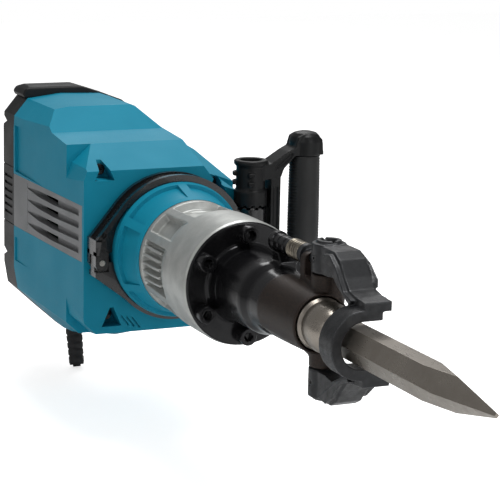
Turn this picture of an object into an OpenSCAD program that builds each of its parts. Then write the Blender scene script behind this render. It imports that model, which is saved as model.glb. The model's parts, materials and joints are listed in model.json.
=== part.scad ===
// Electric demolition hammer with a hex-shank bull-point chisel, a damped rear
// D-handle and a clamp-on side D-handle.
// Modules are written in the barrel frame: X along the barrel towards the chisel
// with zero at the tool holder's flange face, Z up, zero on the barrel axis.
// in_row() moves that frame to the part's own origin, the centre of the flat
// pad under the motor housing.

/* [Frame] */
// Distance from the underside pad's centre forward to the flange face
flange_x = 370; // [368:1:372]
// Height of the barrel axis above the underside pad
axis_z = 130; // [130:1:132]

/* [Chisel] */
// Width across the flats of the hexagonal shank
hex_af = 28.6; // [28.5:0.1:28.6]
// Distance from the flange face to the chisel's point
tip_x = 452; // [400:1:470]
// Length of the ground point
point_len = 104; // [90:1:120]

/* [Tool holder] */
// Radius of the round flange
flange_r = 58.5; // [57:0.5:58.5]
// Distance from the flange face to the holder's mouth
mouth_x = 159; // [158:1:162]
// Outer radius of the holder at its mouth
mouth_r = 26.7; // [26.5:0.1:27.5]
// Radius of the circle through the flange screws
screw_circle_r = 48; // [47.5:0.5:48.5]
// Number of flange screws
screw_count = 6; // [4:1:6]

/* [Retainer] */
// Distance from the flange face to the retainer's hinge axis
hinge_x = 148; // [147:1:148]
// Sideways offset of the retainer's hinge axis
hinge_y = 12; // [11:0.5:12]
// Height of the detent plunger's axis above the barrel axis
detent_z = 49; // [49:0.5:54]
// Radius of the retainer's hinge pins
hinge_pin_r = 7; // [6:0.5:7.5]

/* [Percussion] */
// Radius of the cylinder bore
bore_r = 31.05; // [31.05:0.01:31.08]
// Throw of the crank
crank_throw = 15; // [14:0.5:15]
// Length of the connecting rod between its eyes
rod_len = 70; // [69:0.5:70]

/* [Gears] */
// Teeth on the large gears
gear_teeth = 36; // [36]
// Teeth on the pinions
pinion_teeth = 12; // [12]
// Module of the second, slower stage
slow_module = 2; // [2]
// Module of the first, faster stage
fast_module = 1.5; // [1.5]

/* [Motor] */
// Outer radius of the stator
stator_r = 46; // [44:0.5:46]
// Radius of the armature core
armature_r = 27; // [25:0.5:27]

/* [Housing] */
// Half width of the motor housing
side_y = 97; // [96:0.5:97]
// Wall thickness of the plastic covers
wall = 3.5; // [3:0.1:3.5]
// Inner radius of the clamp band on the neck
neck_r = 68; // [67.8:0.1:68]

/* [Side handle] */
// Distance from the flange face back to the clamp bolt
clamp_bolt_back = 174; // [173:1:175]
// Sideways offset of the clamp bolt
clamp_bolt_y = 82; // [82:0.5:84]
// Sideways offset of the side grip's centre line
side_grip_y = 142; // [141:1:146]

/* [Hidden] */
$fn = 64;

run_gap = 0.05;

housing_rear_x = -399;
seam_x = -240;
front_face_x = -192;
rear_cover_back_x = -435;
pad_front_x = -341;

crank_x = -238;
slow_distance = slow_module * (gear_teeth + pinion_teeth) / 2;
fast_distance = fast_module * (gear_teeth + pinion_teeth) / 2;
intermediate_x = crank_x - slow_distance;
motor_x = intermediate_x - fast_distance;
crank_pin_x = crank_x + crank_throw;
wrist_x = crank_pin_x + rod_len;

hex_corner_r = hex_af / 2 / cos(30);
clamp_bolt_x = -clamp_bolt_back;
clamp_bolt_r = 5;

teal = "#1b8fa5";
alu = "#b4b6b6";
steel = "#9a968e";
black = "#26272a";
grey = "#8b8d8e";
copper = "#a5572c";

// ---- helpers -------------------------------------------------------------

module in_row() translate([flange_x, 0, axis_z]) children();

module rod_x(x0, x1, r0, r1 = -1) {
    translate([x0, 0, 0])
        rotate([0, 90, 0])
            cylinder(h = x1 - x0, r1 = r0, r2 = r1 < 0 ? r0 : r1);
}

module ring_x(x0, x1, outer, inner) {
    difference() {
        rod_x(x0, x1, outer);
        rod_x(x0 - 1, x1 + 1, inner);
    }
}

module post(x, y, z0, z1, r) translate([x, y, z0]) cylinder(h = z1 - z0, r = r);

module tube_z(x, y, z0, z1, outer, inner) {
    difference() {
        post(x, y, z0, z1, outer);
        post(x, y, z0 - 1, z1 + 1, inner);
    }
}

module block(x0, x1, y0, y1, z0, z1) {
    translate([x0, y0, z0]) cube([x1 - x0, y1 - y0, z1 - z0]);
}

module hex_x(x0, x1, corner_r) {
    translate([x0, 0, 0])
        rotate([0, 90, 0])
            cylinder(h = x1 - x0, r = corner_r, $fn = 6);
}

// Prism from an outline in (X, Z), centred on Y
module side_prism(points, half, inset = 0) {
    rotate([90, 0, 0])
        linear_extrude(height = 2 * half, center = true)
            offset(delta = -inset) polygon(points);
}

// Prism from an outline in (X, Y)
module plan_prism(points, z0, z1, inset = 0) {
    translate([0, 0, z0])
        linear_extrude(height = z1 - z0)
            offset(delta = -inset) polygon(points);
}

// Prism from an outline in (Y, Z)
module end_prism(points, x0, x1, inset = 0) {
    translate([x0, 0, 0])
        rotate([90, 0, 90])
            linear_extrude(height = x1 - x0)
                offset(delta = -inset) polygon(points);
}

// Involute spur gear outline with stub teeth
pressure_angle = 20;
gear_backlash = 0.12;
function involute(a) = tan(a) * 180 / PI - a;
function base_r(z, m) = m * z / 2 * cos(pressure_angle);
function half_tooth(z, m, r) =
    90 / z + involute(pressure_angle) - involute(acos(min(1, base_r(z, m) / r)))
    - gear_backlash / (m * z) * 180 / PI;
function polar(r, a) = [r * cos(a), r * sin(a)];
function tooth(z, m, centre) =
    let (root = m * z / 2 - 1.1 * m,
         foot = max(root + 0.01, base_r(z, m)),
         tip = m * z / 2 + 0.75 * m,
         radii = [for (i = [0:4]) foot + (tip - foot) * i / 4])
    concat([polar(root, centre - half_tooth(z, m, foot))],
           [for (r = radii) polar(r, centre - half_tooth(z, m, r))],
           [for (i = [4:-1:0]) polar(radii[i], centre + half_tooth(z, m, radii[i]))],
           [polar(root, centre + half_tooth(z, m, foot))]);
module gear(z, m, height, phase = 0) {
    linear_extrude(height = height)
        polygon([for (k = [0:z - 1]) each tooth(z, m, 360 * k / z + phase)]);
}

// ---- plastic covers ------------------------------------------------------

rear_side = [[housing_rear_x, -axis_z], [pad_front_x, -axis_z], [-288, -104], [seam_x, -98],
             [seam_x, 98], [-282, 104], [-312, 126], [-330, 128.5], [housing_rear_x, 128.5]];
// Seen from behind, the upper left shoulder is cut lower than the right one
rear_end = [[-44, -130], [-93, -84], [-side_y, -60], [-side_y, 90], [-96, 106], [-81, 124], [-44, 128.5],
            [0, 127], [26, 119], [46, 105], [62, 92], [side_y, 66], [side_y, -60], [93, -84], [44, -130]];
body_plan = [[housing_rear_x, -side_y], [front_face_x, -90], [front_face_x, 90], [housing_rear_x, side_y]];
front_side = [[seam_x, -98], [front_face_x, -88], [front_face_x, 78], [seam_x, 98]];
front_end = [[-66, -98], [-89, -76], [-93, -50], [-93, 60], [-86, 80], [-66, 98], [34, 98], [69, 60],
             [93, 24], [93, -50], [89, -76], [66, -98]];

// Everything beyond a plane through a point, facing along a normal
module beyond(point, normal) {
    tilt = acos(normal.z / norm(normal));
    heading = atan2(normal.y, normal.x);
    translate(point) rotate([0, tilt, heading]) translate([-400, -400, 0]) cube([800, 800, 400]);
}

// The left shoulder: a step down from the top, then two slanted faces above a shelf over the vent
crease_y = 34;
crease_z = 98;
shelf_z = 45;
module left_shoulder(inset = 0) {
    crease = [seam_x, crease_y - inset, crease_z];
    intersection() {
        union() {
            beyond(crease, [754, 6042, 5565]);
            beyond(crease, [208, 864, 672]);
        }
        beyond([front_face_x, 90, shelf_z - inset], [190, 480, 1301]);
    }
    intersection() {
        beyond(crease, [14, 1008, 1026]);
        beyond([seam_x, 0, crease_z - inset], [0, 0, 1]);
    }
}

module rear_form(inset) {
    intersection() {
        side_prism(rear_side, 110, inset);
        plan_prism(body_plan, -140, 140, inset);
        difference() {
            end_prism(rear_end, housing_rear_x - 5, seam_x + 5, inset);
            left_shoulder(inset);
        }
    }
}

module front_form(inset) {
    intersection() {
        side_prism(front_side, 110, inset);
        plan_prism(body_plan, -140, 140, inset);
        difference() {
            end_prism(front_end, seam_x - 5, front_face_x + 5, inset);
            left_shoulder(inset);
        }
    }
}

vent_x0 = -399;
vent_x1 = -197;
vent_z0 = -14;
vent_z1 = 43;
module vent_pocket(side) {
    mirror([0, side < 0 ? 1 : 0, 0])
        block(vent_x0 - 1, vent_x1, 84, 110, vent_z0, vent_z1);
}

screw_pocket_r = 7.5;
screw_post_r = 7;
screw_r = 3;
// Y and Z of the front cover's screws
cover_screws = [[-68, 77], [-60, -72], [53, 58], [60, -72]];
cover_screw_seat = -212;
cover_screw_end = -257;
// Rear cover screws, driven from behind at both sides
rear_spots = [[78, 58], [78, -70]];
module motor_housing() {
    color(teal) in_row()
    difference() {
        rear_form(0);
        difference() {
            intersection() {
                rear_form(wall);
                block(housing_rear_x, seam_x - 1, -110, 110, -140, 140);
            }
            rear_posts(housing_rear_x + 8, -378);
            cover_posts(cover_screw_end - 4, seam_x);
            for (side = [-1, 1]) mirror([0, side < 0 ? 1 : 0, 0])
                block(vent_x0 - 1, seam_x, 84 - wall, 110, vent_z0 - wall, vent_z1 + wall);
        }
        for (side = [-1, 1]) vent_pocket(side);
        // rear opening, closed by the rear cover
        end_prism(rear_end, housing_rear_x - 2, housing_rear_x + 6, wall + 1);
        // front opening towards the crankcase
        block(seam_x - 6, seam_x + 1, -44.2, 44.2, -80, 84.2);
        screw_holes();
        rear_screw_holes();
    }
}

// Front cover's screw posts, joined to the side walls
module cover_posts(x0, x1) {
    for (p = cover_screws) {
        translate([0, p.x, p.y]) rod_x(x0, x1, screw_post_r);
        mirror([0, p.x < 0 ? 1 : 0, 0]) block(x0, x1, abs(p.x), side_y - 4, p.y - 3, p.y + 3);
    }
}

// Rear cover's screw posts, joined to the side walls
module rear_posts(x0, x1) {
    for (side = [-1, 1]) mirror([0, side < 0 ? 1 : 0, 0]) for (p = rear_spots) {
        translate([0, p.x, p.y]) rod_x(x0, x1, 8);
        block(x0, x1, p.x, side_y, p.y - 3, p.y + 3);
    }
}

module rear_screw_holes() {
    for (side = [-1, 1]) for (p = rear_spots) translate([0, side * p.x, p.y]) {
        rod_x(-450, -370, 3.05);
        rod_x(-450, -430, 6);
    }
}

module screw_holes() {
    for (p = cover_screws) translate([0, p.x, p.y]) {
        rod_x(cover_screw_end - 3, cover_screw_seat + 1, screw_r + run_gap);
        rod_x(cover_screw_seat, front_face_x + 1, screw_pocket_r);
    }
}

module front_cover() {
    color(teal) in_row()
    difference() {
        union() {
            difference() {
                front_form(0);
                intersection() {
                    front_form(wall);
                    block(seam_x - 5, front_face_x - wall, -110, 110, -140, 140);
                }
            }
            // neck that carries the clamp band, then the collar over the barrel
            rod_x(front_face_x - 3, -162, neck_r);
            rod_x(-162, -125, neck_r + 0.5, 57.5);
            cover_posts(seam_x, cover_screw_seat);
        }
        rod_x(-204, -124, 57);
        rod_x(-210, -200, 50);
        block(seam_x - 1, front_face_x - 6, -44.2, 44.2, -60, 75);
        for (side = [-1, 1]) vent_pocket(side);
        block(seam_x - 40, seam_x, -110, 110, -140, 140);
        screw_holes();
    }
}

// A pan head screw along X with a cross recess; the head looks to +X
module pan_screw(end_x, seat_x) {
    difference() {
        union() {
            rod_x(end_x, seat_x + 1, screw_r);
            rod_x(seat_x, seat_x + 4, 5.5);
        }
        for (turn = [0, 90]) rotate([turn, 0, 0]) block(seat_x + 2.5, seat_x + 5, -3, 3, -0.6, 0.6);
    }
}

module housing_screws() {
    color(black) in_row() {
        for (p = cover_screws) translate([0, p.x, p.y]) pan_screw(cover_screw_end, cover_screw_seat);
        for (side = [-1, 1]) for (p = rear_spots)
            translate([0, side * p.x, p.y]) mirror([1, 0, 0]) pan_screw(372, 430);
    }
}

louvre_count = 4;
module vent_panel_right() {
    color(grey) in_row()
    intersection() {
        difference() {
            block(vent_x0 + 0.1, vent_x1 - 0.1, -98, -84.2, vent_z0 + 0.1, vent_z1 - 0.1);
            for (i = [0:louvre_count - 1]) {
                z = vent_z0 + 9.5 + i * 12.6;
                block(-330, -214, -99, -90, z - 3, z + 3);
                block(-318, -270, -99, -80, z - 3, z + 3);
            }
        }
        plan_prism(body_plan, -140, 140);
    }
}

module vent_panel_left() mirror([0, 1, 0]) vent_panel_right();

cover_side = [[rear_cover_back_x, -112], [-418, -130], [housing_rear_x, -130], [housing_rear_x, 124],
              [rear_cover_back_x, 124]];
module rear_cover() {
    color(black) in_row()
    difference() {
        union() {
            intersection() {
                side_prism(cover_side, 110);
                end_prism(rear_end, rear_cover_back_x, housing_rear_x);
            }
            // pivot lugs for the rear handle
            for (side = [-1, 1]) translate([0, side * 29, 0])
                side_prism([[-425, -120], [-462, -112], [-462, -92], [-430, -84]], 5);
            end_prism(rear_end, housing_rear_x - 1, housing_rear_x + 5.9, wall + 1.1);
        }
        difference() {
            intersection() {
                side_prism(cover_side, 110, wall);
                end_prism(rear_end, rear_cover_back_x, housing_rear_x + 2, wall);
            }
            rear_posts(rear_cover_back_x, housing_rear_x);
        }
        rear_screw_holes();
        end_prism(rear_end, housing_rear_x - 6, housing_rear_x + 7, wall + 4);
        for (side = [-1, 1]) mirror([0, side < 0 ? 1 : 0, 0])
            block(housing_rear_x, housing_rear_x + 10, 80, 110, vent_z0 - 0.1, vent_z1 + 0.1);
        translate([-451, 0, -102]) rotate([90, 0, 0]) cylinder(h = 90, r = 5.05, center = true);
        // seat of the speed dial and of the lamps
        translate([-434, -52, -70]) rotate([0, 90, 0]) cylinder(h = 12, r = 8.05, center = true);
        for (z = [-40, -28])
            translate([-434, -52, z]) rotate([0, 90, 0]) cylinder(h = 12, r = 3.05, center = true);
    }
}

module rear_cap() {
    color(black) in_row()
    intersection() {
        difference() {
            side_prism([[rear_cover_back_x, 124.1], [-399.1, 124.1], [-399.1, 134], [-402, 136.5],
                        [-424, 136.5], [rear_cover_back_x, 131]], 88);
            block(-430, -404, -70, 14, 127, 132);
        }
        end_prism([[-84, 124], [-86, 128], [-80, 136.5], [-25, 136.5], [15, 123.4], [-60, 123.4]],
                  -460, -300);
    }
}

// ---- crankcase and barrel ------------------------------------------------

case_r = 41.5;
module crankcase() {
    color(alu) in_row()
    difference() {
        union() {
            post(crank_x, 0, -34, 58, case_r);
            rod_x(-216, -150, 43);
            ring_x(-150, -126, 56.9, 36.1);
            rod_x(-160, -149, 50);
            post(intermediate_x, 0, 26, 58, 18);
            post(motor_x, 0, 38, 56, 17);
            block(motor_x, crank_x, -16, 16, 38, 58);
        }
        post(crank_x, 0, -30, 27, 34);
        rod_x(crank_x, -125, 32);
        rod_x(-172, -125, 36.05);
        post(crank_x, 0, 26, 41, 24);
        post(crank_x, 0, 41, 59, 39);
        post(intermediate_x, 0, 41, 59, 15.5);
        post(intermediate_x, 0, 29, 42, 11);
        post(motor_x, 0, 40, 60, 13);
        post(motor_x, 0, 30, 41, 8);
    }
}

module gear_cover() {
    color(alu) in_row()
    difference() {
        union() {
            post(crank_x, 0, 58, 74, 22);
            post(intermediate_x, 0, 58, 84, 31.5);
            post(motor_x, 0, 58.1, 78, 14);
            post(crank_x, 0, 58, 60, case_r);
        }
        post(crank_x, 0, 57, 60.5, 15);
        post(crank_x, 0, 60.2, 72.1, 18);
        post(intermediate_x, 0, 59.5, 71, 29.5);
        post(intermediate_x, 0, 57, 60, 15.5);
        post(intermediate_x, 0, 70.5, 81.1, 11);
        post(motor_x, 0, 50, 74, 12);
    }
}

barrel_front_x = -3;
spigot_r = 40;
module barrel_housing() {
    color(alu) in_row()
    difference() {
        union() {
            rod_x(-45, barrel_front_x, 59.5);
            rod_x(-78, -45, 55, 59.5);
            rod_x(-126, -78, 55);
            rod_x(-126, -119, 56.9);
            for (k = [0:5]) rotate([60 * k + 30, 0, 0]) block(-124, -44, -4, 4, 40, 58);
        }
        rod_x(-127, 0, 36.05);
        rod_x(-20, 0, spigot_r + run_gap);
        for (k = [0:5]) rotate([60 * k, 0, 0]) block(-112, -56, -16, 16, 50, 62);
        screw_ring() rod_x(-32, 1, 4.98);
    }
}

module screw_ring() {
    for (k = [0:screw_count - 1]) rotate([360 / screw_count * k, 0, 0])
        translate([0, 0, screw_circle_r]) children();
}

module cylinder_liner() {
    color("#77797b") in_row()
    difference() {
        rod_x(-172, -20.1, 36);
        rod_x(-173, -19, bore_r);
        for (k = [0:3]) rotate([90 * k + 45, 0, 0]) post(-90, 0, 20, 40, 2.5);
    }
}

// ---- tool holder, screws and retainer ------------------------------------

module tool_holder() {
    color(black) in_row()
    difference() {
        union() {
            rod_x(-3, 0, flange_r);
            rod_x(-20, -3, spigot_r);
            rod_x(0, 30, 36, 34);
            rod_x(30, 62, 34);
            rod_x(62, 74, 34, 29.5);
            rod_x(74, mouth_x, 29.5, mouth_r);
            for (side = [-1, 1]) {
                post(hinge_x, hinge_y, min(side * 15, side * 41), max(side * 15, side * 41), 14.8);
                block(hinge_x - 24, hinge_x, -3, hinge_y + 10, side < 0 ? -34 : 15, side < 0 ? -15 : 34);
            }
            // guide lug of the detent plunger
            block(112, 121, 2, 22, 18, detent_z + 8);
            // seat of the detent guide
            block(51, 68, 4, 20, 20, detent_z - 6);
        }
        rod_x(-21, 5, 22.05);
        rod_x(5, 27, 15.05);
        hex_x(26.9, mouth_x + 1, (hex_af / 2 + 0.12) / cos(30));
        rod_x(143, mouth_x + 6, 24.4);
        screw_ring() rod_x(-4, 1, 5.25);
        for (side = [-1, 1])
            post(hinge_x, hinge_y, side < 0 ? -42 : 24, side < 0 ? -24 : 42, hinge_pin_r + run_gap);
        detent_axis() rod_x(111, 122, 5.05);
        detent_axis() rod_x(30, 100, 8.05);
    }
}

module detent_axis() translate([0, hinge_y, detent_z]) children();

module flange_screws() {
    color("#303134") in_row()
    screw_ring() difference() {
        union() {
            rod_x(-30, 3, 4.95);
            rod_x(2.3, 12.3, 8.5);
        }
        hex_x(7.3, 13, 4.6);
    }
}

module spring_washers() {
    color("#3d3e42") in_row()
    screw_ring() difference() {
        ring_x(0.02, 2.28, 8.6, 5.3);
        block(-1, 4, -0.6, 0.6, 4, 10);
    }
}

module retainer_pins() {
    color(steel) in_row()
    for (side = [-1, 1]) {
        z = [side * 26, side * 64];
        post(hinge_x, hinge_y, min(z), max(z), hinge_pin_r);
    }
}

module roll_pins() {
    color("#55565a") in_row()
    for (side = [-1, 1]) translate([hinge_x, hinge_y - 8, side * 55])
        rotate([90, 0, 0]) difference() {
            cylinder(h = 6.5, r = 2.5);
            translate([0, 0, -1]) cylinder(h = 9, r = 1.3);
        }
}

module detent_guide() {
    color(black) in_row()
    detent_axis() difference() {
        union() {
            rod_x(42, 78, 8);
            rod_x(42, 50, 9.5);
        }
        rod_x(50, 80, 4.05);
    }
}

spring_turns = 6;
spring_r = 8;
spring_wire_r = 1.3;
spring_steps = 18;
spring_sides = 8;
spring_x0 = 79.4;
spring_x1 = 101.6;
// Height of the coil's centre line after t turns, with one closed turn at each end
function spring_x(t) =
    let (closed = 2 * spring_wire_r + 0.1,
         pitch = (spring_x1 - spring_x0 - 2 * closed) / (spring_turns - 2))
    t < 1 ? spring_x0 + closed * t :
    t > spring_turns - 1 ? spring_x1 - closed * (spring_turns - t) :
    spring_x0 + closed + pitch * (t - 1);
module detent_spring() {
    rings = spring_turns * spring_steps;
    points = [for (i = [0:rings]) for (k = [0:spring_sides - 1])
        let (a = 360 * i / spring_steps, b = 360 * k / spring_sides,
             r = spring_r + spring_wire_r * cos(b))
        [spring_x(i / spring_steps) + spring_wire_r * sin(b), r * cos(a), r * sin(a)]];
    skin = [for (i = [0:rings - 1]) for (k = [0:spring_sides - 1])
        let (a = i * spring_sides, next = (k + 1) % spring_sides)
        [a + k, a + next, a + next + spring_sides, a + k + spring_sides]];
    start_cap = [for (k = [spring_sides - 1:-1:0]) k];
    end_cap = [for (k = [0:spring_sides - 1]) rings * spring_sides + k];
    color("#a8a49c") in_row() detent_axis()
        polyhedron(points, concat(skin, [start_cap, end_cap]));
}

module detent_plunger() {
    color("#50443a") in_row()
    detent_axis() {
        rod_x(58, 103, 4);
        rod_x(103, 109, 9.5);
        rod_x(109, hinge_x - 15.1, 5);
    }
}

yoke_front = 241;
yoke_back = 217;
module yoke_arm(side) {
    mirror([0, 0, side < 0 ? 1 : 0]) {
        difference() {
            union() {
                post(hinge_x, hinge_y, 42, 68, 15);
                rotate([90, 0, 0]) translate([0, 0, -hinge_y - 14])
                    linear_extrude(height = 26)
                        polygon([[hinge_x + 2, 42.5], [hinge_x + 2, 67.5], [hinge_x + 36, 67.5],
                                 [hinge_x + 47, 61], [hinge_x + 64, 38], [yoke_front, 36],
                                 [yoke_front, 27], [yoke_back, 27],
                                
                                 [hinge_x + 52, 37], [hinge_x + 36, 46], [hinge_x + 24, 42.5]]);
            }
            block(yoke_back - 60, yoke_front + 1, -40, 40, -26.5, 26.5);
            block(hinge_x + 16, yoke_back - 1, -40, 60, -36, 36.5);
            translate([hinge_x, hinge_y, 30]) cylinder(h = 34.1, r = hinge_pin_r + run_gap);
            translate([hinge_x, hinge_y, 66.2]) cylinder(h = 3, r = 5);
            translate([hinge_x, hinge_y - 7.9, 55]) rotate([90, 0, 0]) cylinder(h = 9, r = 2.55);
        }
    }
}

module retainer_yoke() {
    color("#2c2d30") in_row() {
        yoke_arm(1);
        yoke_arm(-1);
        difference() {
            union() {
                ring_x(yoke_back, yoke_front, 30, 20);
                for (side = [-1, 1]) mirror([0, 0, side < 0 ? 1 : 0])
                    block(yoke_back, yoke_front, 0, 18, 20, 30);
            }
            block(yoke_back - 1, yoke_front + 1, 0, 40, -20, 20);
            block(yoke_back - 1, yoke_front + 1, 18, 60, -50, 50);
        }
    }
}

module chisel() {
    color(steel) in_row()
    difference() {
        union() {
            hex_x(28, tip_x, hex_corner_r);
            rod_x(150, 164, 23.4);
            rod_x(164, 168, 21.5);
            rod_x(168, 188, 22.6);
            rod_x(188, 196, 22.6, 17);
        }
        // four ground facets of the bull point
        for (turn = [0:3]) rotate([90 * turn + 45, 0, 0])
            translate([tip_x - point_len, 0, 17])
                rotate([0, atan2(15.5, point_len), 0])
                    translate([0, -30, 0]) cube([point_len + 30, 60, 40]);
        rod_x(27, 34, 30);
    }
    color(steel) in_row() rod_x(28, 34, 13.6, 14.2);
}

module impact_bolt() {
    color("#8f9094") in_row() {
        rod_x(-26, -3, 22);
        rod_x(-3, 22, 15);
    }
}

module striker() {
    color("#8a8c90") in_row()
    difference() {
        rod_x(-90, -48, 31);
        for (x = [-86, -78]) ring_x(x, x + 4, 34, 28.5);
    }
}

module striker_rings() {
    color("#1d1d1f") in_row()
    for (x = [-86, -78]) ring_x(x + 0.3, x + 3.7, 31.02, 28.5);
}

// ---- crank, piston and gears ---------------------------------------------

piston_front_x = wrist_x + 54;
module piston() {
    color("#97999d") in_row()
    difference() {
        rod_x(wrist_x - 22, piston_front_x, 31);
        rod_x(wrist_x - 23, wrist_x + 42, 27.5);
        post(wrist_x, 0, -35, 35, 5.5);
        ring_x(piston_front_x - 8, piston_front_x - 5, 33, 28.8);
    }
}

module piston_ring() {
    color("#1d1d1f") in_row() ring_x(piston_front_x - 7.8, piston_front_x - 5.2, 31.02, 28.8);
}

module connecting_rod() {
    color("#a2a4a6") in_row()
    difference() {
        union() {
            post(crank_pin_x, 0, -8, 8, 14);
            post(wrist_x, 0, -8, 8, 10);
            block(crank_pin_x, wrist_x, -6, 6, -6, 6);
        }
        post(crank_pin_x, 0, -9, 9, 8.05);
        post(wrist_x, 0, -9, 9, 5);
    }
}

module wrist_pin() color(steel) in_row() post(wrist_x, 0, -11, 11, 5);

module crankshaft() {
    color("#84868a") in_row() {
        post(crank_pin_x, 0, -9, 10, 8);
        post(crank_x, 0, 10, 26, 30);
        post(crank_x, 0, 26, 72, 12);
    }
}

module crank_gear() {
    color("#7c7468") in_row()
    difference() {
        translate([crank_x, 0, 44]) gear(gear_teeth, slow_module, 12);
        post(crank_x, 0, 43, 57, 12);
    }
}

module crank_bearings() {
    color(steel) in_row() {
        tube_z(crank_x, 0, 28, 40, 24, 12.05);
        tube_z(crank_x, 0, 61, 72, 18, 12.05);
    }
}

module intermediate_shaft() {
    color("#84868a") in_row() {
        post(intermediate_x, 0, 30, 44, 6);
        translate([intermediate_x, 0, 43]) gear(pinion_teeth, slow_module, 14, 15);
        post(intermediate_x, 0, 57, 80, 6);
    }
}

module intermediate_gear() {
    color("#7c7468") in_row()
    difference() {
        translate([intermediate_x, 0, 60.5]) gear(gear_teeth, fast_module, 9.5);
        post(intermediate_x, 0, 60, 71, 6);
    }
}

module intermediate_bearings() {
    color(steel) in_row() {
        tube_z(intermediate_x, 0, 30, 40, 11, 6.05);
        tube_z(intermediate_x, 0, 73, 81, 11, 6.05);
    }
}

module motor_shaft() {
    color(steel) in_row() {
        post(motor_x, 0, -110, 58, 6);
        translate([motor_x, 0, 58]) gear(pinion_teeth, fast_module, 14, 15);
    }
}

module armature_core() {
    color("#5c4a40") in_row()
    difference() {
        post(motor_x, 0, -86, -40, armature_r);
        post(motor_x, 0, -87, -39, 6);
        for (k = [0:11]) translate([motor_x, 0, -87]) rotate([0, 0, 30 * k])
            translate([armature_r - 5, -1.2, 0]) cube([6, 2.4, 48]);
    }
}

module commutator() {
    color(copper) in_row() tube_z(motor_x, 0, -103, -91, 17, 6);
}

module cooling_fan() {
    color("#2a2a2c") in_row()
    difference() {
        union() {
            post(motor_x, 0, -24, -21, 40);
            post(motor_x, 0, -24, -12, 11);
            for (k = [0:8]) translate([motor_x, 0, -24]) rotate([0, 0, 40 * k])
                translate([9, -1, 0]) cube([30.9, 2, 12]);
        }
        post(motor_x, 0, -25, -11, 6);
    }
}

stator_z0 = -88;
stator_z1 = -38;
coil_x0 = 12;
coil_x1 = 22;
coil_y0 = 29.5;
coil_y1 = 38.5;
coil_gap = 0.15;
module stator() {
    color("#6a6a6d") in_row()
    difference() {
        post(motor_x, 0, stator_z0, stator_z1, stator_r);
        post(motor_x, 0, stator_z0 - 1, stator_z1 + 1, armature_r + 1);
        // slots on both sides of each pole, for the legs of its coil
        for (side = [-1, 1]) mirror([0, side < 0 ? 1 : 0, 0])
            for (x = [motor_x - coil_x1, motor_x + coil_x0])
                block(x, x + coil_x1 - coil_x0, coil_y0, coil_y1, stator_z0 - 1, stator_z1 + 1);
    }
}

module field_coils() {
    color(copper) in_row()
    for (side = [-1, 1]) mirror([0, side < 0 ? 1 : 0, 0]) difference() {
        block(motor_x - coil_x1 + coil_gap, motor_x + coil_x1 - coil_gap, coil_y0 + coil_gap,
              coil_y1 - coil_gap, stator_z0 - 2.5, stator_z1 + 3);
        block(motor_x - coil_x0 - coil_gap, motor_x + coil_x0 + coil_gap, coil_y0 - 1, coil_y1 + 1,
              stator_z0 - coil_gap, stator_z1 + coil_gap);
    }
}

module motor_bearings() {
    color(steel) in_row() {
        tube_z(motor_x, 0, 41, 50, 13, 6.05);
        tube_z(motor_x, 0, -109.5, -104, 11, 6.05);
    }
}

module brush_holders() {
    color("#b39a4a") in_row()
    for (side = [-1, 1]) mirror([0, side < 0 ? 1 : 0, 0]) difference() {
        block(motor_x - 6, motor_x + 6, 19, 42, -103, -91);
        block(motor_x - 4.05, motor_x + 4.05, 18, 43, -101.05, -92.95);
    }
}

module carbon_brushes() {
    color("#303030") in_row()
    for (side = [-1, 1]) mirror([0, side < 0 ? 1 : 0, 0])
        block(motor_x - 4, motor_x + 4, 17.1, 36, -101, -93);
}

// ---- side handle and its clamp -------------------------------------------

band_x0 = -190;
band_x1 = -165;
band_pin_y = -80;
band_pin_z = -9;
module clamp_band() {
    color(black) in_row()
    difference() {
        union() {
            difference() {
                ring_x(band_x0, band_x1, neck_r + 7, neck_r + run_gap);
                block(band_x0 - 1, band_x1 + 1, -90, 90, -90, 0);
            }
            post(clamp_bolt_x, clamp_bolt_y, 3, 38, 16);
            block(band_x0 + 2, band_x1 - 1, 70, clamp_bolt_y, 3, 26);
            block(band_x0, band_x1, -87, -70, -2, 14);
            for (x = [band_x0, band_x1 - 7]) block(x, x + 7, -87, -73, -17, 0);
        }
        rod_x(band_x0 - 1, band_x1 + 1, neck_r + run_gap);
        post(clamp_bolt_x, clamp_bolt_y, 2, 39, clamp_bolt_r + run_gap);
        translate([0, band_pin_y, band_pin_z]) rod_x(band_x0 - 1, band_x1 + 1, 3);
    }
}

module clamp_strap() {
    color(black) in_row()
    difference() {
        union() {
            difference() {
                ring_x(band_x0 + 3, band_x1 - 3, neck_r + 4.5, neck_r + run_gap);
                block(band_x0 - 1, band_x1 + 1, -90, 90, -2.5, 90);
            }
            post(clamp_bolt_x, clamp_bolt_y, -34, -3, 14);
            block(band_x0 + 4, band_x1 - 4, 68, clamp_bolt_y, -26, -3);
            block(band_x0 + 7.3, band_x1 - 7.3, -86, -68, -18, -2.5);
        }
        rod_x(band_x0 - 1, band_x1 + 1, neck_r + run_gap);
        post(clamp_bolt_x, clamp_bolt_y, -35, -2, clamp_bolt_r + run_gap);
        translate([0, band_pin_y, band_pin_z]) rod_x(band_x0 - 1, band_x1 + 1, 3);
    }
}

module band_hinge_pin() {
    color(steel) in_row() translate([0, band_pin_y, band_pin_z]) rod_x(band_x0 - 0.5, band_x1 + 0.5, 3);
}

module clamp_bolt() {
    color("#55565a") in_row() {
        post(clamp_bolt_x, clamp_bolt_y, -44, 68, clamp_bolt_r);
        translate([clamp_bolt_x, clamp_bolt_y, 67]) cylinder(h = 6, r = 8.5, $fn = 6);
        translate([clamp_bolt_x, clamp_bolt_y, -42]) cylinder(h = 7.9, r = 9, $fn = 6);
    }
}

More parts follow.
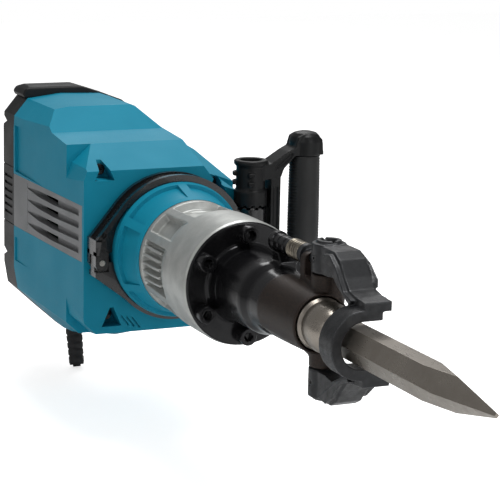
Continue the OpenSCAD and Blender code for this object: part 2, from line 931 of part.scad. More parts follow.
module side_handle_frame() {
    color(black) in_row()
    translate([clamp_bolt_x, 0, 0])
    difference() {
        union() {
            translate([0, clamp_bolt_y, 38.1]) cylinder(h = 42, r = 16);
            intersection() {
                translate([0, clamp_bolt_y, 38.1]) cylinder(h = 42, r = 17.6);
                for (z = [48, 58, 68]) block(-18, -6, clamp_bolt_y - 14, clamp_bolt_y + 2, z, z + 5);
            }
            rotate([90, 0, 90]) linear_extrude(height = 24, center = true)
                polygon([[clamp_bolt_y, 60], [clamp_bolt_y, 80], [clamp_bolt_y + 16, 82],
                         [side_grip_y - 17, 98],
                         [side_grip_y - 17, 108], [side_grip_y + 14, 108], [side_grip_y + 16, 88],
                         [side_grip_y - 17, 88], [clamp_bolt_y + 34, 78], [clamp_bolt_y + 29, 66],
                         [clamp_bolt_y + 29, -30], [clamp_bolt_y + 34, -42], [side_grip_y - 17, -50],
                         [side_grip_y + 16, -50], [side_grip_y + 14, -66], [side_grip_y - 17, -66],
                         [clamp_bolt_y + 24, -54], [clamp_bolt_y + 18, -44], [clamp_bolt_y + 18, 60]]);
            translate([0, side_grip_y, -52]) cylinder(h = 144, r = 9);
        }
        translate([0, clamp_bolt_y, 20]) cylinder(h = 70, r = clamp_bolt_r + run_gap);
        translate([0, clamp_bolt_y, 66.9]) cylinder(h = 20, r = 10.5);
    }
}

module side_grip() {
    color("#232427") in_row() tube_z(clamp_bolt_x, side_grip_y, -49.9, 87.9, 15.5, 9);
}

// ---- rear handle, controls and cord --------------------------------------

handle_outline = [[-452, 118], [-585, 104], [-610, 74], [-610, -84], [-588, -112], [-466, -124],
                  [-446, -112], [-444, -92], [-455, -82]];
handle_window = [[-484, 80], [-558, 72], [-575, 54], [-575, -60], [-558, -80], [-484, -86]];
handle_half = 21;

guard_top_x = -492;
module guard_axis() translate([guard_top_x, 0, -112]) rotate([0, 165, 0]) children();

module handle_loop(y0, y1) {
    difference() {
        translate([0, (y0 + y1) / 2, 0]) side_prism(handle_outline, (y1 - y0) / 2);
        translate([0, (y0 + y1) / 2, 0]) side_prism(handle_window, 60);
        block(-598, -568, -8.2, 8.2, -22, 62);
        translate([-451, 0, -102]) rotate([90, 0, 0]) cylinder(h = 90, r = 5.05, center = true);
        guard_axis() cylinder(h = 88, r1 = 11 + run_gap, r2 = 8.6 + run_gap);
        guard_axis() translate([0, 0, -12]) cylinder(h = 15, r = 5);
        post(-599, 0, -50, 62, 4);
    }
}

module handle_shell_left() color(black) in_row() handle_loop(0.05, handle_half);

module handle_shell_right() color(black) in_row() handle_loop(-handle_half, -0.05);

grip_half_z = 60;
module rear_grip() {
    color("#1f2022") in_row()
    difference() {
        block(-614, -577, -handle_half - 3, handle_half + 3, -grip_half_z, grip_half_z);
        block(-610.1, -576, -handle_half - 0.1, handle_half + 0.1, -grip_half_z - 1, grip_half_z + 1);
    }
}

module handle_pivot_pin() {
    color(steel) in_row()
    translate([-451, 0, -102]) rotate([90, 0, 0]) cylinder(h = 68, r = 5, center = true);
}

module damper_bellows() {
    color("#1b1b1d") in_row()
    translate([0, 0, 99]) for (k = [0:2]) ring_x(-449.5 + 4.8 * k, -445 + 4.8 * k, 15 - (k % 2) * 2, 9);
}

module trigger() {
    color("#3a3b3e") in_row()
    difference() {
        side_prism([[-589, 56], [-572, 56], [-562, 38], [-560, 8], [-566, -14], [-580, -18], [-588, -10]], 8);
        translate([-581, 0, 48]) rotate([90, 0, 0]) cylinder(h = 30, r = 2, center = true);
    }
}

module speed_controller() {
    color("#2f5d3a") in_row() {
        block(-426, -406, -70, -34, -84, -20);
    }
}

module speed_dial() {
    color("#45474a") in_row()
    translate([0, -52, -70]) difference() {
        rod_x(-440, -430, 8);
        for (k = [0:11]) rotate([30 * k, 0, 0]) block(-441, -435.5, -0.8, 0.8, 7, 9);
    }
}

module indicator_lamps() {
    color("#c9d8c4") in_row()
    for (z = [-40, -28]) translate([0, -52, z]) rod_x(-437, -430, 3);
}

module cord_guard() {
    color("#1c1c1e") in_row()
    difference() {
        guard_axis() cylinder(h = 88, r1 = 11, r2 = 8.6);
        guard_axis() translate([0, 0, -1]) cylinder(h = 95, r = 4.55);
    }
}

module power_cord() {
    color("#151517") in_row()
    guard_axis() translate([0, 0, -8]) cylinder(h = 98, r = 4.5);
}

motor_housing();
front_cover();
housing_screws();
vent_panel_right();
vent_panel_left();
rear_cover();
rear_cap();
crankcase();
gear_cover();
barrel_housing();
cylinder_liner();
tool_holder();
flange_screws();
spring_washers();
retainer_pins();
roll_pins();
detent_guide();
detent_spring();
detent_plunger();
retainer_yoke();
chisel();
impact_bolt();
striker();
striker_rings();
piston();
piston_ring();
connecting_rod();
wrist_pin();
crankshaft();
crank_gear();
crank_bearings();
intermediate_shaft();
intermediate_gear();
intermediate_bearings();
motor_shaft();
armature_core();
commutator();
cooling_fan();
stator();
field_coils();
motor_bearings();
brush_holders();
carbon_brushes();
clamp_band();
clamp_strap();
band_hinge_pin();
clamp_bolt();
side_handle_frame();
side_grip();
handle_shell_left();
handle_shell_right();
rear_grip();
handle_pivot_pin();
damper_bellows();
trigger();
speed_controller();
speed_dial();
indicator_lamps();
cord_guard();
power_cord();
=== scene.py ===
# Electric demolition hammer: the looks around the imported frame.
# Shapes are written in millimetres in the barrel frame: X forward from the tool
# holder's flange face, Y to the left, Z up from the barrel axis.
import json
import math
import bmesh
import bpy
from mathutils import Matrix, Vector


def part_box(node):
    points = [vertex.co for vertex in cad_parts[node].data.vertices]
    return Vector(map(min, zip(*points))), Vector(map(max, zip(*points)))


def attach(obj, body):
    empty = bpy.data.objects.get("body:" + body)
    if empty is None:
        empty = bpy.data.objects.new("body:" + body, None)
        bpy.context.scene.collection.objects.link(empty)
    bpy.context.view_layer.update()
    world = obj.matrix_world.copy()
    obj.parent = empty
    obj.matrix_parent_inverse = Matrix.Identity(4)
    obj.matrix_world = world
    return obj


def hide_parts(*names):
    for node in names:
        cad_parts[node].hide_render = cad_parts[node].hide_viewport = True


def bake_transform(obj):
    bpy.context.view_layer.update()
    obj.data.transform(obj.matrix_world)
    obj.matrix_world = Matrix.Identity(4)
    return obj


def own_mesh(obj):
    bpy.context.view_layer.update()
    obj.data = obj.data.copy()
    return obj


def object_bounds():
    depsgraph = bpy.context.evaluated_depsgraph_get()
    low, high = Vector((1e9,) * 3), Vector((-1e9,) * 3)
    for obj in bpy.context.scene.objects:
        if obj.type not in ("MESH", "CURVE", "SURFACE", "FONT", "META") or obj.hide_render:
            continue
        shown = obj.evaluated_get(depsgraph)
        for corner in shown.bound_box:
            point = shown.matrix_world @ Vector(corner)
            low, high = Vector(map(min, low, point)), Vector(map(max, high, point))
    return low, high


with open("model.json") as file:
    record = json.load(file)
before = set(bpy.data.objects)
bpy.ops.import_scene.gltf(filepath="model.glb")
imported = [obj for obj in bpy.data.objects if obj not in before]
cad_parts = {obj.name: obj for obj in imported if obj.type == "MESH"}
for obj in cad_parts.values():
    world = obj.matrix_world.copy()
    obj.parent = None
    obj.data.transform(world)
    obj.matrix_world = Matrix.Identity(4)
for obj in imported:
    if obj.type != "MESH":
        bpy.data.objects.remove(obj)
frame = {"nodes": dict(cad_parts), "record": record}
cad_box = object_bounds()

# ---- the barrel frame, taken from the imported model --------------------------

MM = 0.001
HOLDER_FACE_GAP = 0.003
barrel_lo, barrel_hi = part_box("barrel_housing")
ORIGIN = Vector((barrel_hi.x + HOLDER_FACE_GAP, 0.0, (barrel_lo.z + barrel_hi.z) / 2))
TO_ROW = Matrix.Translation(ORIGIN) @ Matrix.Scale(MM, 4)
TO_BARREL = TO_ROW.inverted()
BODY_OF = {node: body
           for body, nodes in frame["record"]["behaviour"]["bodies"].items()
           for node in nodes}


def local_box(node):
    """A CAD node's corners in millimetres, in the barrel frame."""
    lo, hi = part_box(node)
    return TO_BARREL @ lo, TO_BARREL @ hi


# ---- mesh helpers -----------------------------------------------------------

PLANES = {
    "XZ": lambda u, v, w: (u, w, v),
    "XY": lambda u, v, w: (u, v, w),
    "YZ": lambda u, v, w: (w, u, v),
}


def closed_mesh(bm):
    bmesh.ops.remove_doubles(bm, verts=bm.verts, dist=1e-4)
    bmesh.ops.recalc_face_normals(bm, faces=bm.faces)
    mesh = bpy.data.meshes.new("part")
    bm.to_mesh(mesh)
    bm.free()
    return mesh


def loft(rings):
    """A closed skin over rings of points that all have the same length."""
    bm = bmesh.new()
    rows = [[bm.verts.new(p) for p in ring] for ring in rings]
    for a, b in zip(rows, rows[1:]):
        for k in range(len(a)):
            n = (k + 1) % len(a)
            bm.faces.new((a[k], a[n], b[n], b[k]))
    bm.faces.new(rows[0])
    bm.faces.new(rows[-1])
    return closed_mesh(bm)


def prism(outline, lo, hi, plane="XZ"):
    place = PLANES[plane]
    return loft([[place(u, v, w) for u, v in outline] for w in (lo, hi)])


def block(x0, x1, y0, y1, z0, z1):
    return prism([(x0, z0), (x1, z0), (x1, z1), (x0, z1)], y0, y1)


def lathe(profile, steps=96, at=(0, 0, 0), axis="X", ring=False):
    """Turns (distance along the axis, radius) points about the X or Z axis."""
    bm = bmesh.new()
    rows = []
    for along, radius in profile:
        row = []
        for k in range(steps):
            a = 2 * math.pi * k / steps
            u, v = radius * math.cos(a), radius * math.sin(a)
            row.append(bm.verts.new((along, u, v) if axis == "X" else (u, v, along)))
        rows.append(row)
    pairs = list(zip(rows, rows[1:]))
    if ring:
        pairs.append((rows[-1], rows[0]))
    for a, b in pairs:
        for k in range(steps):
            n = (k + 1) % steps
            bm.faces.new((a[k], a[n], b[n], b[k]))
    if not ring:
        bm.faces.new(rows[0])
        bm.faces.new(rows[-1])
    bmesh.ops.translate(bm, vec=at, verts=bm.verts)
    return closed_mesh(bm)


def rod(lo, hi, radius, steps=32, at=(0, 0, 0), axis="X"):
    return lathe([(lo, radius), (hi, radius)], steps, at, axis)


def polar(r, degrees):
    """(Y, Z) at a clock angle: 0 is straight up and +90 is +Y."""
    a = math.radians(degrees)
    return (r * math.sin(a), r * math.cos(a))


def arc(r, a0, a1, steps=24):
    return [polar(r, a0 + (a1 - a0) * k / steps) for k in range(steps + 1)]


def sector(x0, x1, r0, r1, a0, a1, steps=24):
    """Part of a ring about the barrel axis."""
    return prism(arc(r1, a0, a1, steps) + arc(r0, a1, a0, steps), x0, x1, "YZ")


def hull(points):
    bm = bmesh.new()
    for p in points:
        bm.verts.new(p)
    found = bmesh.ops.convex_hull(bm, input=bm.verts)
    spare = [v for v in found["geom_interior"] if isinstance(v, bmesh.types.BMVert)]
    bmesh.ops.delete(bm, geom=spare, context="VERTS")
    bmesh.ops.dissolve_limit(bm, angle_limit=0.01, verts=bm.verts, edges=bm.edges)
    return closed_mesh(bm)


def moved(mesh, matrix):
    mesh.transform(matrix)
    return mesh


def turned(mesh, degrees, axis="X", about=(0, 0, 0)):
    centre = Matrix.Translation(about)
    return moved(mesh, centre @ Matrix.Rotation(math.radians(degrees), 4, axis) @ centre.inverted())


def cross_rod(lo, hi, radius, steps, at):
    """A rod along Y."""
    return moved(turned(rod(lo, hi, radius, steps, axis="Z"), 90), Matrix.Translation(at))


def mirrored(mesh, scale=(1, -1, 1)):
    """The same shape on the other side of the machine, or of the plane that the scale flips."""
    bm = bmesh.new()
    bm.from_mesh(mesh)
    bmesh.ops.scale(bm, vec=scale, verts=bm.verts)
    return closed_mesh(bm)


def join(meshes):
    bm = bmesh.new()
    for mesh in meshes:
        bm.from_mesh(mesh)
    mesh = bpy.data.meshes.new("joined")
    bm.to_mesh(mesh)
    bm.free()
    return mesh


def beyond(point, normal):
    """Everything past a plane through the point, on the side the normal looks to."""
    far = 400
    turn = Vector((0, 0, 1)).rotation_difference(Vector(normal)).to_matrix().to_4x4()
    return moved(block(-far, far, -far, far, 0, far), Matrix.Translation(point) @ turn)


def add_object(name, data):
    obj = bpy.data.objects.new(name, data)
    bpy.context.scene.collection.objects.link(obj)
    return obj


def evaluated(obj):
    graph = bpy.context.evaluated_depsgraph_get()
    graph.update()
    return bpy.data.meshes.new_from_object(obj.evaluated_get(graph))


def solid(add, cut=(), common=()):
    """One mesh: the union of add, less cut, kept where it lies inside common."""
    base = add_object("base", add[0])
    tools = []
    jobs = [(m, "UNION") for m in add[1:]]
    jobs += [(m, "INTERSECT") for m in common] + [(m, "DIFFERENCE") for m in cut]
    for mesh, operation in jobs:
        tool = add_object("tool", mesh)
        tools.append(tool)
        modifier = base.modifiers.new("job", "BOOLEAN")
        modifier.operation = operation
        modifier.solver = "EXACT"
        modifier.object = tool
    result = evaluated(base)
    for obj in [base] + tools:
        bpy.data.objects.remove(obj)
    return result


def cast(mesh, voxel=0.9, rounds=6, keep=0.5):
    """Rounds every edge as a casting or a forging has it."""
    obj = add_object("cast", mesh)
    remesh = obj.modifiers.new("remesh", "REMESH")
    remesh.mode = "VOXEL"
    remesh.voxel_size = voxel
    smooth = obj.modifiers.new("smooth", "SMOOTH")
    smooth.factor = 0.5
    smooth.iterations = rounds
    if keep < 1:
        thin = obj.modifiers.new("thin", "DECIMATE")
        thin.ratio = keep
    result = evaluated(obj)
    bpy.data.objects.remove(obj)
    return result


def round_edges(obj, width, segments=2, angle=35):
    """Merges flat neighbours, then bevels what is sharper than the angle."""
    flat = obj.modifiers.new("flat", "DECIMATE")
    flat.decimate_type = "DISSOLVE"
    flat.angle_limit = math.radians(1.0)
    edge = obj.modifiers.new("edge", "BEVEL")
    edge.width = width * MM
    edge.segments = segments
    edge.limit_method = "ANGLE"
    edge.angle_limit = math.radians(angle)
    return edge


def piece(name, mesh, cad_node, material, bevel=0.0, segments=2, angle=35, rides=True):
    """Places a finished mesh on the body of the CAD node it stands for."""
    mesh.transform(TO_ROW)
    mesh.materials.clear()
    mesh.materials.append(material)
    mesh.polygons.foreach_set("use_smooth", [True] * len(mesh.polygons))
    mesh.polygons.foreach_set("material_index", [0] * len(mesh.polygons))
    obj = add_object(name, mesh)
    if bevel:
        round_edges(obj, bevel, segments, angle).harden_normals = True
        obj.modifiers.new("normals", "WEIGHTED_NORMAL")
    if rides:
        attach(obj, BODY_OF[cad_node])
    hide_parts(cad_node)
    # Blender adds a number to a material's name that the import already uses
    return obj


# ---- materials --------------------------------------------------------------

def rgb(code):
    """A hex colour as linear RGBA."""
    parts = [int(code[i:i + 2], 16) / 255 for i in (1, 3, 5)]
    linear = [p / 12.92 if p <= 0.04045 else ((p + 0.055) / 1.055) ** 2.4 for p in parts]
    return (*linear, 1.0)


def node(tree, kind, inputs=None, **settings):
    made = tree.nodes.new("ShaderNode" + kind)
    for key, value in settings.items():
        setattr(made, key, value)
    for key, value in (inputs or {}).items():
        if isinstance(value, bpy.types.NodeSocket):
            tree.links.new(value, made.inputs[key])
        else:
            made.inputs[key].default_value = value
    return made


def ramp(tree, value, lo, hi, to_lo=0.0, to_hi=1.0):
    return node(tree, "MapRange", {"Value": value, "From Min": lo, "From Max": hi,
                                   "To Min": to_lo, "To Max": to_hi}).outputs["Result"]


def mixed(tree, factor, a, b):
    return node(tree, "MixRGB", {"Fac": factor, "Color1": a, "Color2": b}).outputs["Color"]


def times(tree, a, b):
    return node(tree, "Math", {0: a, 1: b}, operation="MULTIPLY").outputs[0]


def plus(tree, a, b):
    return node(tree, "Math", {0: a, 1: b}, operation="ADD").outputs[0]


def noise(tree, place, scale, detail, roughness=0.5):
    return node(tree, "TexNoise", {"Vector": place, "Scale": scale, "Detail": detail,
                                   "Roughness": roughness}).outputs[0]


def edge_mask(tree, radius_mm, rough_value):
    """High on worn edges, broken up by the noise value."""
    bevel = node(tree, "Bevel", {"Radius": radius_mm * MM}, samples=4).outputs["Normal"]
    flat = node(tree, "NewGeometry").outputs["Normal"]
    dot = node(tree, "VectorMath", {0: bevel, 1: flat}, operation="DOT_PRODUCT").outputs["Value"]
    edge = ramp(tree, dot, 0.995, 0.93)
    return times(tree, edge, ramp(tree, rough_value, 0.40, 0.62))


def surface(name, colour, second, rough, metal=0.0, grain=0.5, bump=0.1, blotch=25.0, mottle=1.0,
            worn=None, worn_mm=0.9, coat=0.0, brushed=(1, 1, 1), swing=0.12, height=0.05, shine=0.5):
    """A procedural material. Sizes are in millimetres; brushed stretches the grain."""
    material = bpy.data.materials.new(name)
    material.use_nodes = True
    tree = material.node_tree
    shader = tree.nodes["Principled BSDF"]
    place = node(tree, "TexCoord").outputs["Object"]
    stretched = node(tree, "Mapping", {"Vector": place, "Scale": brushed}).outputs["Vector"]
    fine = noise(tree, stretched, 1 / (grain * MM), 3.0, 0.6)
    broad = noise(tree, place, 1 / (blotch * MM), 4.0)
    blot = times(tree, ramp(tree, broad, 0.35, 0.65), mottle)
    base = mixed(tree, blot, rgb(colour), rgb(second))
    base = mixed(tree, ramp(tree, fine, 0.3, 0.7, 0.0, 0.22), base, rgb(second))
    roughness = plus(tree, ramp(tree, fine, 0.3, 0.7, rough - swing / 2, rough + swing / 2),
                     ramp(tree, broad, 0.3, 0.7, -swing / 2, swing / 2))
    if worn:
        mask = edge_mask(tree, worn_mm, broad)
        base = mixed(tree, mask, base, rgb(worn))
    tree.links.new(base, shader.inputs["Base Color"])
    tree.links.new(roughness, shader.inputs["Roughness"])
    shader.inputs["Metallic"].default_value = metal
    shader.inputs["Coat Weight"].default_value = coat
    shader.inputs["Specular IOR Level"].default_value = shine
    relief = node(tree, "Bump", {"Height": fine, "Strength": bump, "Distance": height * MM})
    tree.links.new(relief.outputs["Normal"], shader.inputs["Normal"])
    return material


TEAL = surface("teal_plastic", "#12849f", "#0f7993", 0.48, grain=0.7, bump=0.25, height=0.06,
               blotch=60, mottle=0.5, swing=0.08, worn="#1d8ea8", worn_mm=0.5, shine=0.12)
GREY = surface("grey_plastic", "#77787a", "#696b6c", 0.5, grain=0.6, bump=0.3, blotch=40, mottle=0.5,
               worn="#9b9d9e", worn_mm=0.6)
BLACK = surface("black_plastic", "#0f1011", "#0b0c0d", 0.45, grain=0.7, bump=0.4, blotch=30, mottle=0.6,
                worn="#2b2c2f", worn_mm=0.5, shine=0.25)
ALUMINIUM = surface("cast_aluminium", "#b6b8b5", "#9a9c9a", 0.46, metal=0.6, grain=0.9, bump=0.35,
                    blotch=14, mottle=0.6, worn="#d8d8d4", worn_mm=1.2, swing=0.14, height=0.09)
BRIGHT = surface("bright_steel", "#a9a7a2", "#8f8d88", 0.28, metal=1.0, grain=0.6, bump=0.2, blotch=12,
                 mottle=0.5, brushed=(1, 6, 6))
TOOL = surface("tool_steel", "#9d968d", "#867f77", 0.32, metal=0.9, grain=1.0, bump=0.25, blotch=18,
               mottle=0.6, brushed=(0.25, 1.6, 1.6), worn="#c0bbb3", worn_mm=0.5, height=0.04)
FORGED = surface("forged_black", "#2c2d2f", "#1b1c1e", 0.42, metal=0.4, grain=1.3, bump=0.8, blotch=7,
                 mottle=0.8, worn="#6c6d70", worn_mm=1.4, height=0.12, swing=0.18)
GLOSS = surface("black_steel", "#1c1c1e", "#131315", 0.22, metal=0.5, grain=1.6, bump=0.12, blotch=16,
                mottle=0.6, worn="#3e3e41", worn_mm=0.6, height=0.06, swing=0.1)
SPRING = surface("spring_steel", "#8d8679", "#6b665e", 0.34, metal=1.0, grain=0.7, bump=0.15, blotch=6)
RUBBER = surface("seal_rubber", "#1a1a1c", "#121213", 0.62, grain=0.8, bump=0.35, blotch=20, mottle=0.6)
GRIP = surface("grip_rubber", "#0f1011", "#0b0c0d", 0.55, grain=0.9, bump=0.5, blotch=22, mottle=0.5,
               height=0.07)
ENAMEL = surface("black_enamel", "#151517", "#0f0f10", 0.24, grain=2.2, bump=0.12, blotch=20, coat=0.35,
                 worn="#2c2c2f", worn_mm=0.5, height=0.05, swing=0.08)
CORE = surface("core_steel", "#6a6a6d", "#55565a", 0.45, metal=0.9, grain=0.6, bump=0.3, brushed=(1, 1, 8))
COPPER = surface("copper", "#b06a3c", "#8a4c28", 0.35, metal=1.0, grain=0.5, bump=0.3, brushed=(1, 1, 6))
BRASS = surface("brass", "#b99a4f", "#9a7e3c", 0.35, metal=1.0, grain=0.5, bump=0.2)
CARBON = surface("carbon", "#2a2a2b", "#1d1d1e", 0.6, grain=0.3, bump=0.4)
BOARD = surface("board_green", "#2c5d3c", "#204a2e", 0.45, grain=0.6, bump=0.3)
LENS = surface("lamp_lens", "#cfe0ca", "#b6cbb0", 0.15, grain=1.2, bump=0.1, coat=0.6)


PAINT_EDGE = 92
PAINT_BLEND = 2.5
GRIT_SCALE = 1100.0


def holder_paint():
    """Glossy black at the flange, gritty and brown towards the mouth."""
    material = surface("holder_black", "#1b1b1d", "#121214", 0.2, metal=0.5, grain=1.5, bump=0.15,
                       blotch=15, mottle=0.6, worn="#3c3c3e", worn_mm=0.7, height=0.06, swing=0.1)
    tree = material.node_tree
    shader = tree.nodes["Principled BSDF"]
    place = node(tree, "TexCoord").outputs["Object"]
    along = node(tree, "SeparateXYZ", {"Vector": place}).outputs["X"]
    grit = noise(tree, place, GRIT_SCALE, 4.0)
    mask = ramp(tree, along, ORIGIN.x + (PAINT_EDGE - PAINT_BLEND) * MM,
                ORIGIN.x + (PAINT_EDGE + PAINT_BLEND) * MM)
    old = shader.inputs["Base Color"].links[0].from_socket
    brown = mixed(tree, ramp(tree, grit, 0.35, 0.65), rgb("#130e0d"), rgb("#33271f"))
    tree.links.new(mixed(tree, mask, old, brown), shader.inputs["Base Color"])
    old = shader.inputs["Roughness"].links[0].from_socket
    keep = times(tree, old, ramp(tree, mask, 0, 1, 1, 0))
    tree.links.new(plus(tree, keep, times(tree, mask, 0.5)), shader.inputs["Roughness"])
    old = shader.inputs["Normal"].links[0].from_socket
    relief = node(tree, "Bump", {"Height": times(tree, grit, mask), "Strength": 0.9,
                                 "Distance": 0.14 * MM, "Normal": old})
    tree.links.new(relief.outputs["Normal"], shader.inputs["Normal"])
    return material


HOLDER = holder_paint()

# ---- motor housing and front cover ------------------------------------------

HOUSING_LO, HOUSING_HI = local_box("motor_housing")
REAR_X, SEAM_X = HOUSING_LO.x, HOUSING_HI.x
BOTTOM_Z, TOP_Z = HOUSING_LO.z, HOUSING_HI.z
SIDE_Y = HOUSING_HI.y
FACE_X = SEAM_X + 48
WALL = 3.5
PAST_SIDE = 110
SCREW_BORE = 3.1
NECK_R = 68
CREASE_Y, CREASE_Z, SHELF_Z = 34, 98, 45
VENT_LO, VENT_HI = local_box("vent_panel_right")

REAR_SIDE = [(REAR_X, BOTTOM_Z), (REAR_X + 58, BOTTOM_Z), (SEAM_X - 48, -104), (SEAM_X, -98),
             (SEAM_X, 98), (SEAM_X - 42, 104), (SEAM_X - 72, 126), (SEAM_X - 90, TOP_Z), (REAR_X, TOP_Z)]
# seen from behind, the upper left shoulder is cut lower than the right one
REAR_END = [(-44, BOTTOM_Z), (-93, -84), (-SIDE_Y, -60), (-SIDE_Y, 90), (-96, 106), (-81, 124),
            (-44, TOP_Z), (0, 127), (26, 119), (46, 105), (62, 92), (SIDE_Y, 66), (SIDE_Y, -60),
            (93, -84), (44, BOTTOM_Z)]
BODY_PLAN = [(REAR_X, -SIDE_Y), (FACE_X, -90), (FACE_X, 90), (REAR_X, SIDE_Y)]
FRONT_SIDE = [(SEAM_X, -98), (FACE_X, -88), (FACE_X, 78), (SEAM_X, 98)]
FRONT_END = [(-66, -98), (-89, -76), (-93, -50), (-93, 60), (-86, 80), (-66, 98), (34, 98), (69, 60),
             (93, 24), (93, -50), (89, -76), (66, -98)]


def shrunk(outline, wall):
    """The outline drawn in towards its middle by about one wall."""
    us, vs = [p[0] for p in outline], [p[1] for p in outline]
    mid = ((min(us) + max(us)) / 2, (min(vs) + max(vs)) / 2)
    scale = [1 - 2 * wall / (max(a) - min(a)) for a in (us, vs)]
    return [tuple(m + (p - m) * s for p, m, s in zip(point, mid, scale)) for point in outline]


def left_shoulder(inset):
    """A step down from the top, then two slanted faces above a shelf over the left vent."""
    crease = (SEAM_X, CREASE_Y - inset, CREASE_Z)
    step = solid([beyond(crease, (14, 1008, 1026))],
                 common=[beyond((SEAM_X, 0, CREASE_Z - inset), (0, 0, 1))])
    faces = solid([beyond(crease, (754, 6042, 5565)), beyond(crease, (208, 864, 672))],
                  common=[beyond((FACE_X, 90, SHELF_Z - inset), (190, 480, 1301))])
    return solid([step, faces])


def belly_facet(side, inset):
    """The slanted facet under one side of the body."""
    normal = Vector((0.161, side * 0.173, -0.972))
    return beyond(normal * (71.6 - inset), normal)


def shell_form(side, end, wall=0.0):
    """A stretch of the body, or with a wall its hollow, from its side, end and plan outlines."""
    if wall:
        side, plan, end = shrunk(side, wall), shrunk(BODY_PLAN, wall), shrunk(end, wall)
    else:
        plan = BODY_PLAN
    cuts = [left_shoulder(wall), belly_facet(-1, wall), belly_facet(1, wall)]
    return solid([prism(side, -PAST_SIDE, PAST_SIDE)], cuts,
                 [prism(plan, -150, 150, "XY"), prism(end, -420, -150, "YZ")])


def vent_pocket(side):
    pocket = block(VENT_LO.x - 3, VENT_HI.x + 0.2, -115, -83.5, VENT_LO.z - 0.2, VENT_HI.z + 0.2)
    return mirrored(pocket) if side > 0 else pocket


COVER_SCREWS = ((-68, 77), (-60, -72), (53, 58), (60, -72))
SCREW_SEAT_X = FACE_X - 20


def triangle(y, z, size, x0, x1):
    """A three-cornered prism round a screw, point up."""
    return prism([(y - size, z - 0.85 * size), (y + size, z - 0.85 * size), (y + 2, z + size),
                  (y - 2, z + size)], x0, x1, "YZ")


def motor_housing():
    cuts = [shell_form(REAR_SIDE, REAR_END, WALL)]
    cuts += [vent_pocket(-1), vent_pocket(1)]
    cuts.append(prism(shrunk(REAR_END, WALL + 1), REAR_X - 1, REAR_X + 6, "YZ"))
    cuts.append(block(SEAM_X - 8, SEAM_X + 1, -44, 44, -80, 84))
    # sunk panel over the right-hand vent, with a step at its front
    panel = [(REAR_X + 4, 46), (SEAM_X - 12, 42), (SEAM_X - 30, 74), (REAR_X + 38, 96), (REAR_X + 4, 96)]
    cuts.append(prism(panel, -SIDE_Y - 5, -SIDE_Y + 3.2))
    # a shallower one under the vent
    panel = [(REAR_X + 4, -26), (SEAM_X - 40, -26), (SEAM_X - 66, -52), (REAR_X + 4, -52)]
    cuts.append(prism(panel, -SIDE_Y - 5, -SIDE_Y + 1.6))
    return solid([shell_form(REAR_SIDE, REAR_END)], cuts)


def collar_pockets():
    """Shallow troughs round the collar, with short bridges between them."""
    found = []
    for k in range(6):
        a0, a1 = 60 * k + 4, 60 * k + 56
        rings = []
        for x, floor_r in ((-157, 63.0), (-131, 58.3)):
            rings.append([(x, y, z) for y, z in arc(74, a0, a1) + arc(floor_r, a1, a0)])
        found.append(loft(rings))
    return found


def front_cover():
    form = shell_form(FRONT_SIDE, FRONT_END)
    inner_side = [(SEAM_X - 30, -98), (FACE_X, -88), (FACE_X, 78), (SEAM_X - 30, 98)]
    posts = [triangle(y, z, 14, SEAM_X - 9, FACE_X + 1) for y, z in COVER_SCREWS]
    hollow = solid([shell_form(inner_side, FRONT_END, WALL)], posts,
                   [block(SEAM_X - 5, FACE_X - WALL, -PAST_SIDE, PAST_SIDE, -140, 140)])
    # small boss on the far shoulder, round its screw
    boss = lathe([(SEAM_X + 2, 7.5), (SCREW_SEAT_X + 14, 7.5), (SCREW_SEAT_X + 16, 5)], 32,
                 at=(0, *COVER_SCREWS[2]))
    neck = lathe([(FACE_X - 4, NECK_R), (-162.5, NECK_R), (-162, 68.5), (-126.5, 57.8), (-125, 57.2)], 128)
    cuts = [hollow, rod(-204, -100, 57, 96), rod(-212, -200, 50, 64)]
    cuts.append(block(SEAM_X - 1, FACE_X - 6, -44.2, 44.2, -60, 75))
    cuts += [vent_pocket(-1), vent_pocket(1)]
    for y, z in COVER_SCREWS:
        cuts.append(triangle(y, z, 10.5, SCREW_SEAT_X, FACE_X + 3))
        cuts.append(rod(SEAM_X - 3, SCREW_SEAT_X + 1, SCREW_BORE, 24, at=(0, y, z)))
    cuts += collar_pockets()
    # three slanted slits low on the face
    for k in range(3):
        slit = block(FACE_X - 2.5, FACE_X + 4, -0.9, 0.9, -7, 7)
        cuts.append(moved(turned(slit, 38), Matrix.Translation((0, -(34 + 6 * k), -79 + 1.5 * k))))
    return solid([form, neck, boss], cuts)


piece("motor_housing_shell", motor_housing(), "motor_housing", TEAL, bevel=1.6, segments=3, angle=12)
piece("front_cover_shell", front_cover(), "front_cover", TEAL, bevel=1.2, segments=3, angle=16)

# ---- vents ------------------------------------------------------------------

SLOTS = 4


def slot_cutter(z):
    """A louvre slot that opens from a point, is deep in the middle and shallow in front."""
    stations = [(-356, 0.4, 1.5), (-338, 2.2, 3.6), (-322, 3.1, 11), (-286, 3.3, 11),
                (-278, 3.4, 5.5), (VENT_HI.x - 9, 3.3, 5.5)]
    rings = []
    for x, half, depth in stations:
        y = -SIDE_Y + 7 * (x - REAR_X) / (FACE_X - REAR_X)
        sag = 1.5 * math.sin((x + 354) / 141 * math.pi)
        rings.append([(x, y - 2, z - half - sag), (x, y + depth, z - half - sag),
                      (x, y + depth, z + half - sag * 0.4), (x, y - 2, z + half - sag * 0.4)])
    return loft(rings)


def vent_panel():
    x0, x1, z0, z1 = VENT_LO.x, VENT_HI.x, VENT_LO.z, VENT_HI.z
    body = solid([block(x0, x1, VENT_LO.y - 1, VENT_HI.y, z0, z1)],
                 common=[prism(BODY_PLAN, -60, 60, "XY")])
    pitch = (z1 - z0 - 6) / SLOTS
    cuts = [slot_cutter(z0 + 4 + pitch * (k + 0.5)) for k in range(SLOTS)]
    cuts.append(block(x0 + 43, x0 + 44, VENT_LO.y - 3, VENT_LO.y + 2.4, z0 + 3, z1 - 3))
    return solid([body], cuts)


